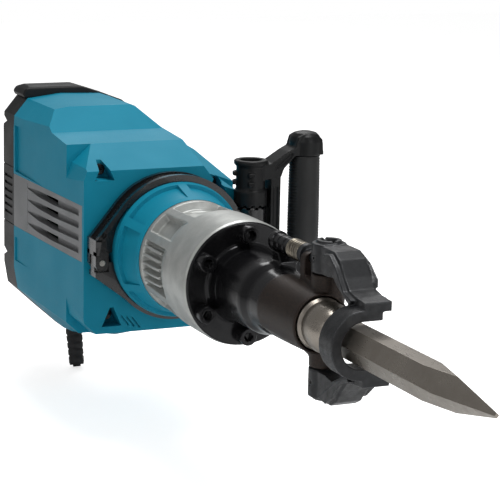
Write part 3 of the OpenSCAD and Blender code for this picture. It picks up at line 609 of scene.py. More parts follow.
piece("vent_grille_right", vent_panel(), "vent_panel_right", GREY, bevel=0.6)
piece("vent_grille_left", mirrored(vent_panel()), "vent_panel_left", GREY, bevel=0.6)

# ---- rear cover and cap -----------------------------------------------------

SEAM_GAP = 0.3
REAR_SCREWS = ((78, 58), (78, -70))
PIVOT = (-451, 0, -102)
PIVOT_BORE = 5.2
CONTROLS_Y = -52
DIAL_Z = -70
LAMPS_Z = (-40, -28)


def rear_cover():
    back = REAR_X - 36
    side = [(back, -112), (back + 17, BOTTOM_Z), (REAR_X - SEAM_GAP, BOTTOM_Z), (REAR_X - SEAM_GAP, 124),
            (back, 124)]
    form = solid([prism(side, -PAST_SIDE, PAST_SIDE)], common=[prism(REAR_END, back, REAR_X, "YZ")])
    parts = [form]
    # the two lugs that carry the handle's pivot pin
    for y in (-29, 29):
        parts.append(prism([(-425, -120), (-462, -112), (-462, -92), (-430, -84)], y - 5, y + 5))
    inner_side = [(back + WALL, -108), (back + 19, BOTTOM_Z + WALL), (REAR_X + 1, BOTTOM_Z + WALL),
                  (REAR_X + 1, 120), (back + WALL, 120)]
    cuts = [solid([prism(inner_side, -PAST_SIDE, PAST_SIDE)],
                  common=[prism(shrunk(REAR_END, WALL + 2), back, REAR_X + 2, "YZ")])]
    cuts.append(cross_rod(-60, 60, PIVOT_BORE, 32, PIVOT))
    for y, z in REAR_SCREWS:
        for side_y in (-1, 1):
            cuts.append(rod(back - 1, -430, 6, at=(0, side_y * y, z)))
            cuts.append(rod(-431, -420, SCREW_BORE, 24, at=(0, side_y * y, z)))
    cuts.append(rod(-441, -425, 8.1, at=(0, CONTROLS_Y, DIAL_Z)))
    for z in LAMPS_Z:
        cuts.append(rod(-441, -425, 3.1, 24, at=(0, CONTROLS_Y, z)))
    for side_y in (-1, 1):
        strips = []
        # ribbed middle of the side, with a seam above and below it
        for k in range(6):
            z = 36 - 8 * k
            strips.append(block(back + 4, REAR_X - 5, SIDE_Y - 1.8, SIDE_Y + 4, z, z + 3.2))
        for z in (49, -14):
            strips.append(block(back - 1, REAR_X + 1, SIDE_Y - 1.0, SIDE_Y + 4, z, z + 1.0))
        # V notches in the rear edge
        for z in (97, -48):
            notch = [(back - 1, z - 5), (back + 11, z), (back - 1, z + 5)]
            strips.append(prism(notch, SIDE_Y - 12, SIDE_Y + 4))
        for strip in strips:
            cuts.append(mirrored(strip) if side_y < 0 else strip)
    return solid(parts, cuts)


CAP_LO, CAP_HI = local_box("rear_cap")


def rear_cap():
    front, back, top = CAP_HI.x, CAP_LO.x, CAP_HI.z
    side = [(front, 124.2), (front, top - 2.5), (front - 3, top - 0.4), (front - 8, top),
            (back + 10, top), (back + 3, top - 2.5), (back, top - 6), (back, 124.2)]
    end = [(-84, 124), (-86, 128), (-84, 133), (-78, top), (-25, top), (15, 123.4), (-60, 123.4)]
    form = solid([prism(side, -88, 88)], common=[prism(end, -470, -300, "YZ")])
    scoop = prism([(back - 2, 127.5), (back + 9, 129.5), (back + 11, 132), (back + 6, 140), (back - 2, 140)],
                  -70, -30)
    return solid([form], [scoop])


piece("rear_cover_shell", rear_cover(), "rear_cover", BLACK, bevel=0.9)
piece("rear_cap_hump", rear_cap(), "rear_cap", BLACK, bevel=1.6, segments=3, angle=20)

# ---- barrel housing ---------------------------------------------------------

def barrel_housing():
    profile = [(-126, 36.05), (-126, 56.6), (-119, 56.6), (-117, 48.6), (-80, 48.6), (-76, 53.5),
               (-58, 59.2), (-46, 59.5), (-5.5, 59.5), (-3, 57.5), (-3, 36.05)]
    parts = [lathe(profile, 128, ring=True)]
    # thick ribs beside the pads and the fins
    for angle in (30, 62, 118, 150, 210, 242, 298, 330):
        rib = [(-120, 46), (-120, 56.4), (-100, 56.9), (-58, 59.2), (-58, 46)]
        parts.append(turned(prism(rib, -4.5, 4.5), angle))
    # thin cooling fins in the side bays
    for bay in (-90, 90):
        for k in range(5):
            fin = prism([(-118, 46), (-118, 56.0), (-92, 56.0), (-79, 55.0), (-79, 46)], -1.4, 1.4)
            parts.append(turned(fin, -(bay - 17 + 8.5 * k)))
    # sunk pads at the top and the bottom
    cuts = [turned(block(-112, -84, -13, 13, 47, 60), angle) for angle in (0, 180)]
    return cast(solid(parts, cuts), 0.75, 2, 0.45)


piece("barrel_casting", barrel_housing(), "barrel_housing", ALUMINIUM)

# ---- tool holder, flange screws and washers ---------------------------------

HINGE_X, HINGE_Y = 148, 12
spring_lo, spring_hi = local_box("detent_spring")
DETENT_Z = (spring_lo.z + spring_hi.z) / 2
MOUTH_X = local_box("tool_holder")[1].x
MOUTH_R, MOUTH_FLOOR_X = 24.4, 143
PIN_BORE = 7.1


def on_hinge(z0, z1, radius, steps=32):
    return rod(z0, z1, radius, steps, at=(HINGE_X, HINGE_Y, 0), axis="Z")


def on_detent(profile, steps=64):
    return lathe(profile, steps, at=(0, HINGE_Y, DETENT_Z))


def hinge_lug(side):
    """The eye of one hinge pin, with the web that ties it to the holder."""
    web_z = sorted((side * 16, side * 33))
    ends = ((112, 4, 18), (HINGE_X, -3, 25))
    web = hull([(x, y, z) for x, *sides in ends for y in sides for z in web_z])
    return [on_hinge(*sorted((side * 15, side * 41)), 14.8, 48), web]


def detent_block():
    """The front seat of the plunger, with a rounded top."""
    over = [math.pi * k / 8 for k in range(9)]
    foot = [(x, y, z) for x in (112, 121) for y in (2, 22) for z in (22, 47)]
    return hull(foot + [(x, HINGE_Y + 9.6 * math.cos(a), DETENT_Z + 5 * math.sin(a))
                        for x in (112, 121) for a in over])


def tool_holder():
    profile = [(-3, 22.1), (-3, 57.6), (-2.2, 58.5), (-0.9, 58.5), (0, 57.6), (0, 39.5), (1.2, 37.6),
               (4, 36.4), (9, 35.6), (12, 35.3), (12.6, 34.6), (30, 34.2), (60, 33.8), (64, 33.2),
               (72, 30.2), (76, 29.6), (150, 27.2), (MOUTH_X - 1.2, 26.9), (MOUTH_X, 25.9),
               (MOUTH_X, MOUTH_R), (MOUTH_FLOOR_X, MOUTH_R), (MOUTH_FLOOR_X, 18.5), (27, 18.5),
               (27, 15.05), (5, 15.05), (5, 22.1)]
    parts = [lathe(profile, 128, ring=True)] + hinge_lug(-1) + hinge_lug(1) + [detent_block()]
    # the saddle under the detent guide
    parts.append(hull([(x, y, z) for x, z1 in ((51, 42), (62, 42), (68, 34)) for y in (4, 20)
                       for z in (20, z1)]))
    cuts = [rod(MOUTH_FLOOR_X, MOUTH_X + 6, MOUTH_R, 64), rod(26, 144, 18.0, 6),
            on_detent([(30, 8.1), (100, 8.1)], 40), on_detent([(105, 5.3), (125, 5.3)], 32),
            on_hinge(24, 43, PIN_BORE), on_hinge(-43, -24, PIN_BORE)]
    # machined flat low on the right-hand side
    cuts.append(turned(block(84, 140, -60, 60, -60, -27.5), -38))
    return cast(solid(parts, cuts), 0.85, 5, 0.6)


SCREW_CIRCLE_R = 48


def screw_ring(make):
    return [turned(moved(make(), Matrix.Translation((0, 0, SCREW_CIRCLE_R))), 60 * k) for k in range(6)]


def flange_screw():
    """A socket-head screw with a knurled head."""
    knurl_steps = 72
    head = lathe([(2.35, 7.9), (2.8, 8.4), (11.2, 8.4), (12.3, 7.3)], knurl_steps)
    for v in head.vertices:
        if 2.6 < v.co.x < 11.4:
            a = math.atan2(v.co.z, v.co.y)
            groove = 1 if round(a / (2 * math.pi) * knurl_steps) % 2 else 0.965
            v.co.y *= groove
            v.co.z *= groove
    shank = lathe([(-30, 4.4), (-29, 4.9), (3, 4.9)], 32)
    socket = rod(6.8, 13, 4.6, 6)
    dish = lathe([(11.6, 4.7), (12.6, 5.8)], 48)
    return solid([head, shank], [socket, dish])


def spring_washer():
    ring = lathe([(0.05, 5.35), (0.05, 8.5), (2.25, 8.5), (2.25, 5.35)], 48, ring=True)
    gap = turned(block(-1, 4, -0.7, 0.7, 4, 10), 25, axis="Z")
    return solid([ring], [gap])


piece("tool_holder_forging", tool_holder(), "tool_holder", HOLDER)
piece("flange_cap_screws", join(screw_ring(flange_screw)), "flange_screws", GLOSS, bevel=0.25, angle=50)
piece("flange_lock_washers", join(screw_ring(spring_washer)), "spring_washers", GLOSS, bevel=0.2)

# ---- retainer ---------------------------------------------------------------

YOKE_BACK, YOKE_FRONT = 217, 241


def from_hinge(points):
    return [(HINGE_X + dx, z) for dx, z in points]


def yoke_arm(side):
    """One forged arm from its knuckle to the horseshoe."""
    back, front = YOKE_BACK - HINGE_X, YOKE_FRONT - HINGE_X
    outline = [(2, 43), (2, 67.2), (34, 67.2), (44, 62), (55, 49), (64, 40), (back + 6, 37.5), (front, 36),
               (front, 27.5), (back, 27.5), (52, 37), (36, 45), (24, 43)]
    arm = prism(from_hinge(outline), HINGE_Y - 12, HINGE_Y + 13)
    # the flank rib on the arm's outer face
    outline = [(20, 63), (34, 65), (46, 57), (62, 39), (back + 8, 35), (back + 4, 30), (52, 40), (38, 50)]
    rib = prism(from_hinge(outline), HINGE_Y - 17, HINGE_Y - 8)
    # a ledge on its inner face that climbs as it goes out
    ledge = hull([(HINGE_X + dx, HINGE_Y + dy, z + dz) for dx, z in ((30, 50), (46, 44), (60, 33))
                  for dy, dz in ((6, 0), (6, 7), (17, 7), (17, 14))])
    ring = lathe([(66, 11), (70.5, 11), (70.5, 7), (66, 7)], 40, (HINGE_X, HINGE_Y, 0), "Z", ring=True)
    cuts = [on_hinge(38, 64.2, PIN_BORE), on_hinge(64.6, 72, 6.6),
            block(HINGE_X - 20, HINGE_X + 20, HINGE_Y - 1.4, HINGE_Y + 1.4, 68.3, 72),
            cross_rod(-4, 14, 2.7, 24, (HINGE_X, HINGE_Y - 8, 55))]
    mesh = solid([on_hinge(42.4, 67.9, 15, 48), arm, rib, ledge, ring], cuts)
    return mirrored(mesh, (1, 1, -1)) if side < 0 else mesh


def retainer_yoke():
    """Both arms and the C-shaped shoe that keeps the chisel's collar in."""
    outer, inner = 30, 20.2
    shoe = prism(arc(outer, 180, 360, 32) + arc(inner, 360, 180, 32), YOKE_BACK, YOKE_FRONT, "YZ")
    shoe = solid([shoe], common=[block(YOKE_BACK - 1, YOKE_FRONT + 1, -40, 0.5, -40, 40)])
    prongs = [block(YOKE_BACK, YOKE_FRONT, -0.5, 17, *z) for z in ((inner, outer), (-outer, -inner))]
    return cast(solid([yoke_arm(1), yoke_arm(-1), shoe] + prongs), 0.8, 4, 0.6)


def coil(radius, wire, x0, x1, turns, steps=40, sides=12):
    """A compression spring with one closed turn at each end."""
    closed = 2 * wire + 0.05
    pitch = (x1 - x0 - 2 * closed) / (turns - 2)
    rings = []
    for i in range(turns * steps + 1):
        t = i / steps
        if t < 1:
            x = x0 + closed * t
        elif t > turns - 1:
            x = x1 - closed * (turns - t)
        else:
            x = x0 + closed + pitch * (t - 1)
        a = 2 * math.pi * t
        ring = []
        for k in range(sides):
            b = 2 * math.pi * k / sides
            r = radius + wire * math.cos(b)
            ring.append((x + wire * math.sin(b), HINGE_Y + r * math.cos(a), DETENT_Z + r * math.sin(a)))
        rings.append(ring)
    return loft(rings)


def detent_guide():
    back = local_box("detent_guide")[0].x
    body = on_detent([(back, 8.2), (back + 1.2, 9.5), (back + 7, 9.5), (back + 8, 8.0), (58, 8.0),
                      (58.8, 7.0), (60.2, 7.0), (61, 8.0), (69, 8.0), (69.8, 7.0), (71.2, 7.0),
                      (72, 8.0), (77.4, 8.0), (78, 7.4)])
    return solid([body], [on_detent([(50, 4.1), (80, 4.1)], 32),
                          on_detent([(back - 1, 3.4), (back + 4, 3.4)], 6)])


def detent_plunger():
    return on_detent([(58, 4), (102.6, 4), (103, 9.0), (103.6, 9.5), (108.4, 9.5), (109, 9.0), (109.3, 5.6),
                      (111, 5), (131.6, 5), (132.8, 3.8)])


WIRE_R = 1.3
spring = piece("detent_coil_spring", coil(8, WIRE_R, spring_lo.x + WIRE_R, spring_hi.x - WIRE_R, 6),
               "detent_spring", SPRING)
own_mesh(spring)

piece("retainer_yoke_forging", retainer_yoke(), "retainer_yoke", FORGED)
piece("detent_guide_tube", detent_guide(), "detent_guide", GLOSS, bevel=0.3)
piece("detent_plunger_pin", detent_plunger(), "detent_plunger", FORGED, bevel=0.3)

# ---- chisel -----------------------------------------------------------------

HEX_FLATS = 28.6
TIP_X = local_box("chisel")[1].x
POINT_LENGTH = 104


def bull_point():
    corner = HEX_FLATS / 2 / math.cos(math.radians(30))
    shank = lathe([(28, corner - 2), (30, corner), (TIP_X, corner)], 6)
    collar = lathe([(150, 21.5), (151.2, 23.4), (162.5, 23.4), (164.2, 22.2), (166, 21.2), (169, 21.8),
                    (176, 22.6), (186, 22.4), (192, 20.2), (197, 16.8)])
    cuts = [lathe([(26, 14.0), (26, 30), (34, 30), (34, 14.0)], 48, ring=True)]
    fall = math.degrees(math.atan2(15.5, POINT_LENGTH))
    for k in range(4):
        slab = block(0, POINT_LENGTH + 30, -32, 32, 0, 40)
        slab = moved(turned(slab, fall, "Y"), Matrix.Translation((TIP_X - POINT_LENGTH, 0, 17)))
        cuts.append(turned(slab, 90 * k + 45))
    return solid([shank, collar], cuts)


piece("bull_point_chisel", bull_point(), "chisel", TOOL, bevel=0.5, angle=25)

# ---- clamp band and strap ---------------------------------------------------

BAND_X0, BAND_X1 = -190, -165
BAND_R = NECK_R + 0.1
BAND_PIN = (0, -80, -9)
BOLT_BORE = 5.1
BOLT_LO, BOLT_HI = local_box("clamp_bolt")
EAR_X, EAR_Y = (BOLT_LO.x + BOLT_HI.x) / 2, (BOLT_LO.y + BOLT_HI.y) / 2
STRAIGHT_AT = -52


def band_path(r, end_y):
    """The band's outside: an arc over the neck, then a straight flank down to the hinge."""
    return arc(r, 78, STRAIGHT_AT, 40) + [(end_y, 13)]


def strip(x0, x1, outer, inner):
    return prism(outer + inner[::-1], x0, x1, "YZ")


def on_ear(profile, steps=64):
    return lathe(profile, steps, at=(EAR_X, EAR_Y, 0), axis="Z")


def crown_grooves(half, z0, z1, start=0):
    """Six grooves across the ear, 30 degrees apart, that leave a crown of teeth."""
    groove = (EAR_X - 20, EAR_X + 20, EAR_Y - half, EAR_Y + half, z0, z1)
    return [turned(block(*groove), start + 30 * k, "Z", (EAR_X, EAR_Y, 0)) for k in range(6)]


def clamp_bores(z0, z1):
    """The hole round the neck, the hinge pin's and the clamp bolt's."""
    x0, x1 = BAND_X0 - 2, BAND_X1 + 2
    return [rod(x0, x1, BAND_R, 128), rod(x0, x1, SCREW_BORE, 24, at=BAND_PIN),
            on_ear([(z0, BOLT_BORE), (z1, BOLT_BORE)], 32)]


def clamp_band():
    web = band_path(72, -83) + [(-84, -2), (-73, -2)]
    parts = [strip(BAND_X0 + 4, BAND_X1 - 5, web, arc(BAND_R, 78, -89, 48))]
    for x0, x1 in ((BAND_X0, BAND_X0 + 5.5), (BAND_X1 - 5.5, BAND_X1)):
        parts.append(strip(x0, x1, band_path(75, -86.5), band_path(70.5, -80.5)))
    parts.append(sector(BAND_X0, BAND_X1, BAND_R, 71.5, -50, 78, 32))
    parts.append(block(BAND_X0, BAND_X1, -87, -76, -2, 14))
    knuckle = [(-87, -12), (-84, -17), (-76, -17), (-73.5, -12), (-73.5, 2), (-87, 2)]
    for x in (BAND_X0, BAND_X1 - 7):
        parts.append(prism(knuckle, x, x + 7, "YZ"))
    parts.append(on_ear([(3.2, 15), (4.2, 16), (37, 16), (38, 15.2)]))
    parts.append(hull([(x, y, z) for x in (BAND_X0 + 3, BAND_X1 - 2)
                       for y, z0, z1 in ((69, 4, 24), (EAR_Y, 4, 30)) for z in (z0, z1)]))
    # a counterbore with a hexagonal socket in the front of the flank
    cuts = clamp_bores(2, 40) + [rod(BAND_X1 - 7, BAND_X1 + 1, 3.6, 24, at=(0, -77.5, 18)),
                                 rod(BAND_X1 - 9, BAND_X1 - 6, 2.2, 6, at=(0, -77.5, 18))]
    return solid(parts, cuts + crown_grooves(2.2, 35.8, 40))


def clamp_strap():
    outer = arc(72.4, 92, 228, 40) + [(-86, -24), (-86, -8)]
    parts = [strip(BAND_X0 + 3, BAND_X1 - 3, outer, arc(BAND_R, 92, 262, 48))]
    parts.append(on_ear([(-34, 13), (-33, 14), (-4, 14), (-3.2, 13.4)]))
    parts.append(hull([(x, y, z) for x in (BAND_X0 + 5, BAND_X1 - 5)
                       for y, z0 in ((67, -26), (EAR_Y, -28)) for z in (z0, -4)]))
    parts.append(block(BAND_X0 + 7.4, BAND_X1 - 7.4, -86, -72, -18, -3))
    # room for the band's flank and its two knuckles
    cuts = clamp_bores(-36, 0) + [block(BAND_X0 - 1, BAND_X1 + 1, -90, -60, -2.6, 20),
                                  block(BAND_X0 - 1, BAND_X0 + 7.3, -92, -72, -19, 20),
                                  block(BAND_X1 - 7.3, BAND_X1 + 1, -92, -72, -19, 20)]
    return solid(parts, cuts)


piece("clamp_band_upper", clamp_band(), "clamp_band", ENAMEL, bevel=0.8)
piece("clamp_strap_lower", clamp_strap(), "clamp_strap", ENAMEL, bevel=0.7)

# ---- side handle ------------------------------------------------------------

GRIP_LO, GRIP_HI = local_box("side_grip")
GRIP_Y = (GRIP_LO.y + GRIP_HI.y) / 2


def on_grip(profile, steps=64):
    return lathe(profile, steps, at=(EAR_X, GRIP_Y, 0), axis="Z")


def side_handle():
    """The D-shaped frame: a boss on the clamp bolt, an arch, a stem and the grip's core."""
    half = 12
    parts = [on_ear([(38.2, 16.2), (39.2, 16.8), (54, 16.8), (56, 14.8), (79, 14.8), (81, 17.2), (84, 17.4),
                     (85.4, 16.4)])]
    # short fins on the side that faces the barrel
    for z in (60, 69):
        for corners in (((-15, -10.5), (-2, -18.6), (-10, -16), (0, -6)), ((15.5, -9), (17.5, -2), (6, -6))):
            parts.append(hull([(EAR_X + dx, EAR_Y + dy, z + dz) for dx, dy in corners for dz in (0, 4.2)]))
    inner_y0, inner_y1 = EAR_Y + 18, EAR_Y + 29
    arch = [(EAR_Y + 4, 64), (EAR_Y + 4, 79), (EAR_Y + 18, 82), (GRIP_Y - 24, 93), (GRIP_Y - 16, 97),
            (GRIP_Y - 13, 107), (GRIP_Y - 7, 110), (GRIP_Y + 8, 110), (GRIP_Y + 14.5, 104),
            (GRIP_Y + 16, 88.2), (GRIP_Y - 16, 88.2), (EAR_Y + 40, 84), (inner_y1 + 3, 76), (inner_y1, 68)]
    stem = [(inner_y0, 70), (inner_y0, -42), (EAR_Y + 24, -54), (GRIP_Y - 18, -65), (GRIP_Y + 13, -66),
            (GRIP_Y + 16, -62), (GRIP_Y + 16, -50.2), (GRIP_Y - 16, -50.2), (EAR_Y + 35, -42),
            (inner_y1, -32), (inner_y1, 72)]
    parts.append(prism(arch, EAR_X - half, EAR_X + half, "YZ"))
    parts.append(prism(stem, EAR_X - half + 1, EAR_X + half - 1, "YZ"))
    cap = on_grip([(88, 16.2), (102, 16.4), (107, 15), (110.5, 11.5), (112, 6)])
    foot = on_grip([(-66, 13.5), (-63, 15.5), (-52, 15.8)])
    core = on_grip([(-55, 8.8), (95, 8.8)], 32)
    parts += [cap, foot, core]
    cuts = [on_ear([(20, 5.2), (84, 5.2)], 32), on_ear([(67, 10.4), (90, 11.4)], 48)]
    # shallow troughs along both faces of the arch and the stem
    for sign in (-1, 1):
        face = EAR_X + sign * half
        trough = [(EAR_Y + 22, 74), (EAR_Y + 24, 79), (GRIP_Y - 20, 91.5), (GRIP_Y - 4, 91.5),
                  (GRIP_Y - 18, 91.0), (EAR_Y + 40, 86.5), (inner_y1 + 2, 79)]
        cuts.append(prism(trough, face - 2.0, face + 2.0, "YZ"))
        cuts.append(block(face - 2.6, face + 2.6, inner_y0 + 3, inner_y1 - 3, -30, 58))
    return cast(solid(parts, cuts + crown_grooves(1.8, 36, 40.2, 15)), 0.8, 4, 0.6)


def side_grip():
    """A rubber sleeve with fine rings on its edges and smooth faces."""
    steps, rows = 96, 184
    z0, z1 = -49.8, 87.8
    edge_from = 0.72
    rings = []
    for i in range(rows + 1):
        t = i / rows
        z = z0 + (z1 - z0) * t
        belly = 0.75 * math.sin(math.pi * t)
        ring = []
        for k in range(steps):
            a = 2 * math.pi * k / steps
            edge = max(0.0, abs(math.sin(a)) - edge_from) / (1 - edge_from)
            tooth = 0.8 * edge * ((i // 2) % 2)
            flat = 0.35 * (1 - edge)
            chamfer = 0.8 if i in (0, rows) else 0
            r = 15.2 + belly - flat + tooth - chamfer
            ring.append((EAR_X + r * math.cos(a), GRIP_Y + r * math.sin(a), z))
        rings.append(ring)
    return solid([loft(rings)], [on_grip([(z0 - 1, 9), (z1 + 1, 9)], 48)])


piece("side_handle_loop", side_handle(), "side_handle_frame", BLACK)
piece("side_grip_sleeve", side_grip(), "side_grip", GRIP)

# ---- rear handle ------------------------------------------------------------

HANDLE_HALF = 21
SPLIT_GAP = 0.05
GUARD_TOP = (-492, 0, -112)
GUARD_TILT = 165
GUARD_LENGTH = 88


def along_guard(profile, steps, ring=False):
    """A turned shape that starts in the handle's foot and leans back like the cord guard."""
    mesh = lathe(profile, steps, axis="Z", ring=ring)
    return moved(turned(mesh, GUARD_TILT, "Y"), Matrix.Translation(GUARD_TOP))


def handle_loop():
    """The whole rear handle, before it is split into its two shells."""
    outline = [(-452, 118), (-520, 113), (-585, 104), (-600, 92), (-610, 74), (-610, -84), (-603, -100),
               (-588, -112), (-530, -119), (-466, -124), (-446, -112), (-444, -92), (-455, -82)]
    window = [(-484, 80), (-558, 72), (-570, 66), (-575, 54), (-575, -60), (-570, -73), (-558, -80),
              (-484, -86)]
    form = solid([prism(outline, -HANDLE_HALF, HANDLE_HALF)], [prism(window, -60, 60)])
    return cast(form, 1.5, 14, 1.0)


def handle_shell(form, side):
    other_half = (-30, SPLIT_GAP) if side > 0 else (-SPLIT_GAP, 30)
    trigger_slot = block(-598, -566, -8.3, 8.3, -22, 62)
    cord_seat = along_guard([(-12, 5), (0, 5), (0, 11.2), (GUARD_LENGTH, 8.8)], 48)
    cuts = [block(-620, -430, *other_half, -140, 130), trigger_slot,
            cross_rod(-60, 60, PIVOT_BORE, 32, PIVOT), cord_seat]
    return solid([form.copy()], cuts)


def rear_grip():
    """A rubber saddle round the back of the handle, ribbed on its sides and back."""
    lo, hi = local_box("rear_grip")
    x0, x1, y1 = lo.x, hi.x, hi.y
    plan = [(x1, -y1 + 1.2), (x1, -y1 + 0.2), (x1 - 3, -y1), (x0 + 9, -y1), (x0 + 3, -y1 + 4),
            (x0, -y1 + 11), (x0, y1 - 11), (x0 + 3, y1 - 4), (x0 + 9, y1), (x1 - 3, y1), (x1, y1 - 0.2),
            (x1, y1 - 1.2), (x1 - 1, 18.5), (x0 + 10, 18.5), (x0 + 6, 12), (x0 + 6, -12),
            (x0 + 10, -18.5), (x1 - 1, -18.5)]
    depth, width, pitch = 0.9, 2.6, 8
    grooves = []
    for k in range(14):
        z = lo.z + 7 + k * pitch
        for side in (-1, 1):
            grooves.append(block(x0 + 8, x1 - 6, side * y1 - depth, side * y1 + depth, z, z + width))
        grooves.append(block(x0 - 1, x0 + depth, -11, 11, z, z + width))
    return solid([prism(plan, lo.z, hi.z, "XY")], [join(grooves)])


HANDLE_FORM = handle_loop()
piece("rear_handle_left", handle_shell(HANDLE_FORM, 1), "handle_shell_left", BLACK, bevel=0.25, angle=60)
piece("rear_handle_right", handle_shell(HANDLE_FORM, -1), "handle_shell_right", BLACK, bevel=0.25, angle=60)
piece("rear_grip_saddle", rear_grip(), "rear_grip", GRIP, bevel=0.4)


def trigger():
    """A curved lever on a cross pin, with five shallow grooves for the finger."""
    outline = [(-589, 56), (-572, 56), (-566, 47), (-562, 36), (-560, 22), (-560.5, 8), (-563, -4),
               (-566, -14), (-572, -17), (-580, -18), (-588, -10)]
    cuts = [cross_rod(-30, 30, 2.1, 24, (-581, 0, 48))]
    for k in range(5):
        z = 28 - 8 * k
        cuts.append(block(-562.5, -558, -5, 5, z, z + 2))
    return solid([prism(outline, -8, 8)], cuts)


def bellows():
    """A rubber tube with three folds."""
    lo, hi = local_box("damper_bellows")
    folds, lip = 3, 0.4
    steps = folds * 8
    profile = [(lo.x, 9), (lo.x, 12)]
    for k in range(steps + 1):
        t = k / steps
        x = lo.x + lip + (hi.x - lo.x - 2 * lip) * t
        profile.append((x, 12.9 - 1.9 * math.cos(2 * math.pi * folds * t)))
    profile += [(hi.x, 12), (hi.x, 9)]
    return lathe(profile, 64, at=(0, 0, 99), ring=True)


def cord_guard():
    """A tapered rubber sleeve with shallow rings."""
    profile = [(0, 4.6), (0, 10.4), (2, 11), (9, 10.8)]
    for k in range(9):
        z = 12 + k * 8
        r = 10.9 - (z / GUARD_LENGTH) * 2.4
        profile += [(z, r), (z + 0.8, r - 0.8), (z + 2, r - 0.8), (z + 2.8, r - 0.1)]
    profile += [(85, 8.6), (GUARD_LENGTH, 7.8), (GUARD_LENGTH, 4.6)]
    return along_guard(profile, 64, ring=True)


def power_cord():
    """The cord from inside the guard down to where the CAD cord ends."""
    length = (GUARD_TOP[2] - local_box("power_cord")[0].z) / -math.cos(math.radians(GUARD_TILT))
    return along_guard([(-8, 3.9), (-7.4, 4.5), (length - 1.2, 4.5), (length - 0.9, 3.9)], 48)


piece("trigger_lever", trigger(), "trigger", BLACK, bevel=1.2, segments=3)
boot = piece("damper_bellows_boot", bellows(), "damper_bellows", RUBBER, rides=False)
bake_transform(boot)
piece("cord_guard_sleeve", cord_guard(), "cord_guard", RUBBER)
piece("power_cord_end", power_cord(), "power_cord", RUBBER)

# ---- CAD nodes that stay, with rounded edges and a real finish --------------

KEPT = {
    ALUMINIUM: {"crankcase": 0.8, "gear_cover": 0.8},
    BLACK: {"speed_dial": 0.3, "cooling_fan": 0.3},
    BOARD: {"speed_controller": 0.4},
    BRASS: {"brush_holders": 0.2},
    BRIGHT: {"retainer_pins": 0.5, "band_hinge_pin": 0.3, "handle_pivot_pin": 0.4, "cylinder_liner": 0.4,
             "impact_bolt": 0.6, "striker": 0.4, "piston": 0.4, "wrist_pin": 0.3, "crankshaft": 0.5,
             "crank_bearings": 0.4, "intermediate_shaft": 0.15, "intermediate_bearings": 0.4,
             "motor_shaft": 0.15, "motor_bearings": 0.4},
    CARBON: {"carbon_brushes": 0.3},
    COPPER: {"commutator": 0.3, "field_coils": 0.6},
    CORE: {"armature_core": 0.2, "stator": 0.3},
    FORGED: {"connecting_rod": 0.6},
    GLOSS: {"housing_screws": 0.3, "roll_pins": 0.2, "clamp_bolt": 0.5},
    LENS: {"indicator_lamps": 0.4},
    RUBBER: {"striker_rings": 0.2, "piston_ring": 0.2},
    TOOL: {"crank_gear": 0.15, "intermediate_gear": 0.15},
}


def dress(name, material, bevel):
    obj = frame["nodes"][name]
    obj.data.materials.clear()
    obj.data.materials.append(material)
    weld = obj.modifiers.new("weld", "WELD")
    weld.merge_threshold = 1e-6
    round_edges(obj, bevel)


for material, bevels in KEPT.items():
    for name, bevel in bevels.items():
        dress(name, material, bevel)

# ---- floor, light and camera ------------------------------------------------

FLOOR_HALF = 4000
FLOOR_BOTTOM, FLOOR_TOP = -140, -130
FLOOR_GAP = 0.5
FLOOR_GLOW = 0.7
ROOM_LIGHT, BACKDROP = 0.28, 1.0
FLANGE_PLACE = (0.35, 0.0, 0.13)
# the photograph's camera, in metres in the row's frame
LENS, SENSOR = 145.1, 36
CAMERA_PLACE = (2.0297, -0.7436, 0.5457)
CAMERA_RIGHT = (0.4069, 0.9133, 0.0205)
CAMERA_UP = (-0.1966, 0.0657, 0.9783)


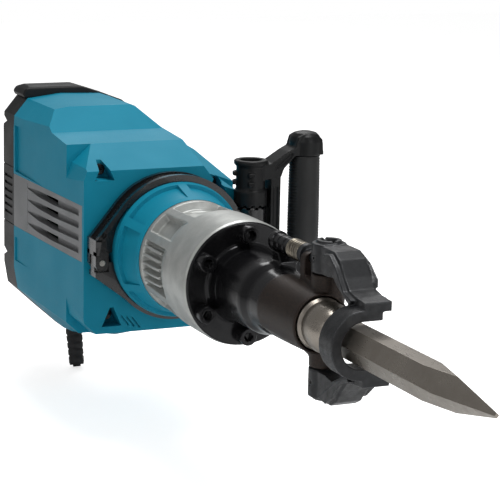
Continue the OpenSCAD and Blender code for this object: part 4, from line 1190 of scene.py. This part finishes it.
def stage():
    mesh = block(-FLOOR_HALF, FLOOR_HALF, -FLOOR_HALF, FLOOR_HALF, FLOOR_BOTTOM, FLOOR_TOP)
    mesh.transform(Matrix.Scale(MM, 4))
    floor = add_object("floor", mesh)
    # just under the lowest thing on the machine, so that it hides nothing
    floor.location.z = cad_box[0].z - (FLOOR_TOP + FLOOR_GAP) * MM
    pale = surface("pale_floor", "#fafafa", "#f6f6f6", 0.7, grain=4, bump=0.02, blotch=400)
    shader = pale.node_tree.nodes["Principled BSDF"]
    # a glow that only the camera sees keeps the far floor as pale as the backdrop
    seen = node(pale.node_tree, "LightPath").outputs["Is Camera Ray"]
    shader.inputs["Emission Color"].default_value = (1, 1, 1, 1)
    pale.node_tree.links.new(times(pale.node_tree, seen, FLOOR_GLOW), shader.inputs["Emission Strength"])
    mesh.materials.append(pale)


def area_light(name, place, target, size, power, size_y=None):
    """A rectangular lamp. Places and sizes are in metres, the power in watts."""
    data = bpy.data.lights.new(name, "AREA")
    data.shape = "RECTANGLE"
    data.size = size
    data.size_y = size_y or size
    data.energy = power
    lamp = add_object(name, data)
    lamp.location = place
    lamp.rotation_euler = (Vector(target) - Vector(place)).to_track_quat("-Z", "Y").to_euler()


def light():
    middle = (cad_box[0] + cad_box[1]) / 2
    area_light("key", (0.5, 0.3, 2.5), middle, 1.1, 42)
    area_light("left_wall", (1.2, -2.2, 0.9), middle, 0.4, 4, 1.6)
    area_light("fill", (2.5, 0.9, 0.7), middle, 0.5, 9, 1.2)
    area_light("back", (-1.6, 0.8, 1.8), middle, 1.0, 12)
    area_light("front_strip", (2.6, -1.6, 1.4), FLANGE_PLACE, 0.25, 7, 1.2)
    world = bpy.data.worlds.new("studio")
    world.use_nodes = True
    tree = world.node_tree
    seen = node(tree, "LightPath").outputs["Is Camera Ray"]
    ground = tree.nodes["Background"]
    tree.links.new(ramp(tree, seen, 0, 1, ROOM_LIGHT, BACKDROP), ground.inputs["Strength"])
    ground.inputs["Color"].default_value = (1, 1, 1, 1)
    bpy.context.scene.world = world
    bpy.context.scene.view_settings.view_transform = "Standard"


def camera():
    data = bpy.data.cameras.new("camera")
    data.lens = LENS
    data.sensor_width = SENSOR
    cam = add_object("camera", data)
    right, up = Vector(CAMERA_RIGHT), Vector(CAMERA_UP)
    turn = Matrix((right, up, right.cross(up))).transposed().to_4x4()
    cam.matrix_world = Matrix.Translation(CAMERA_PLACE) @ turn
    bpy.context.scene.camera = cam


stage()
light()
camera()
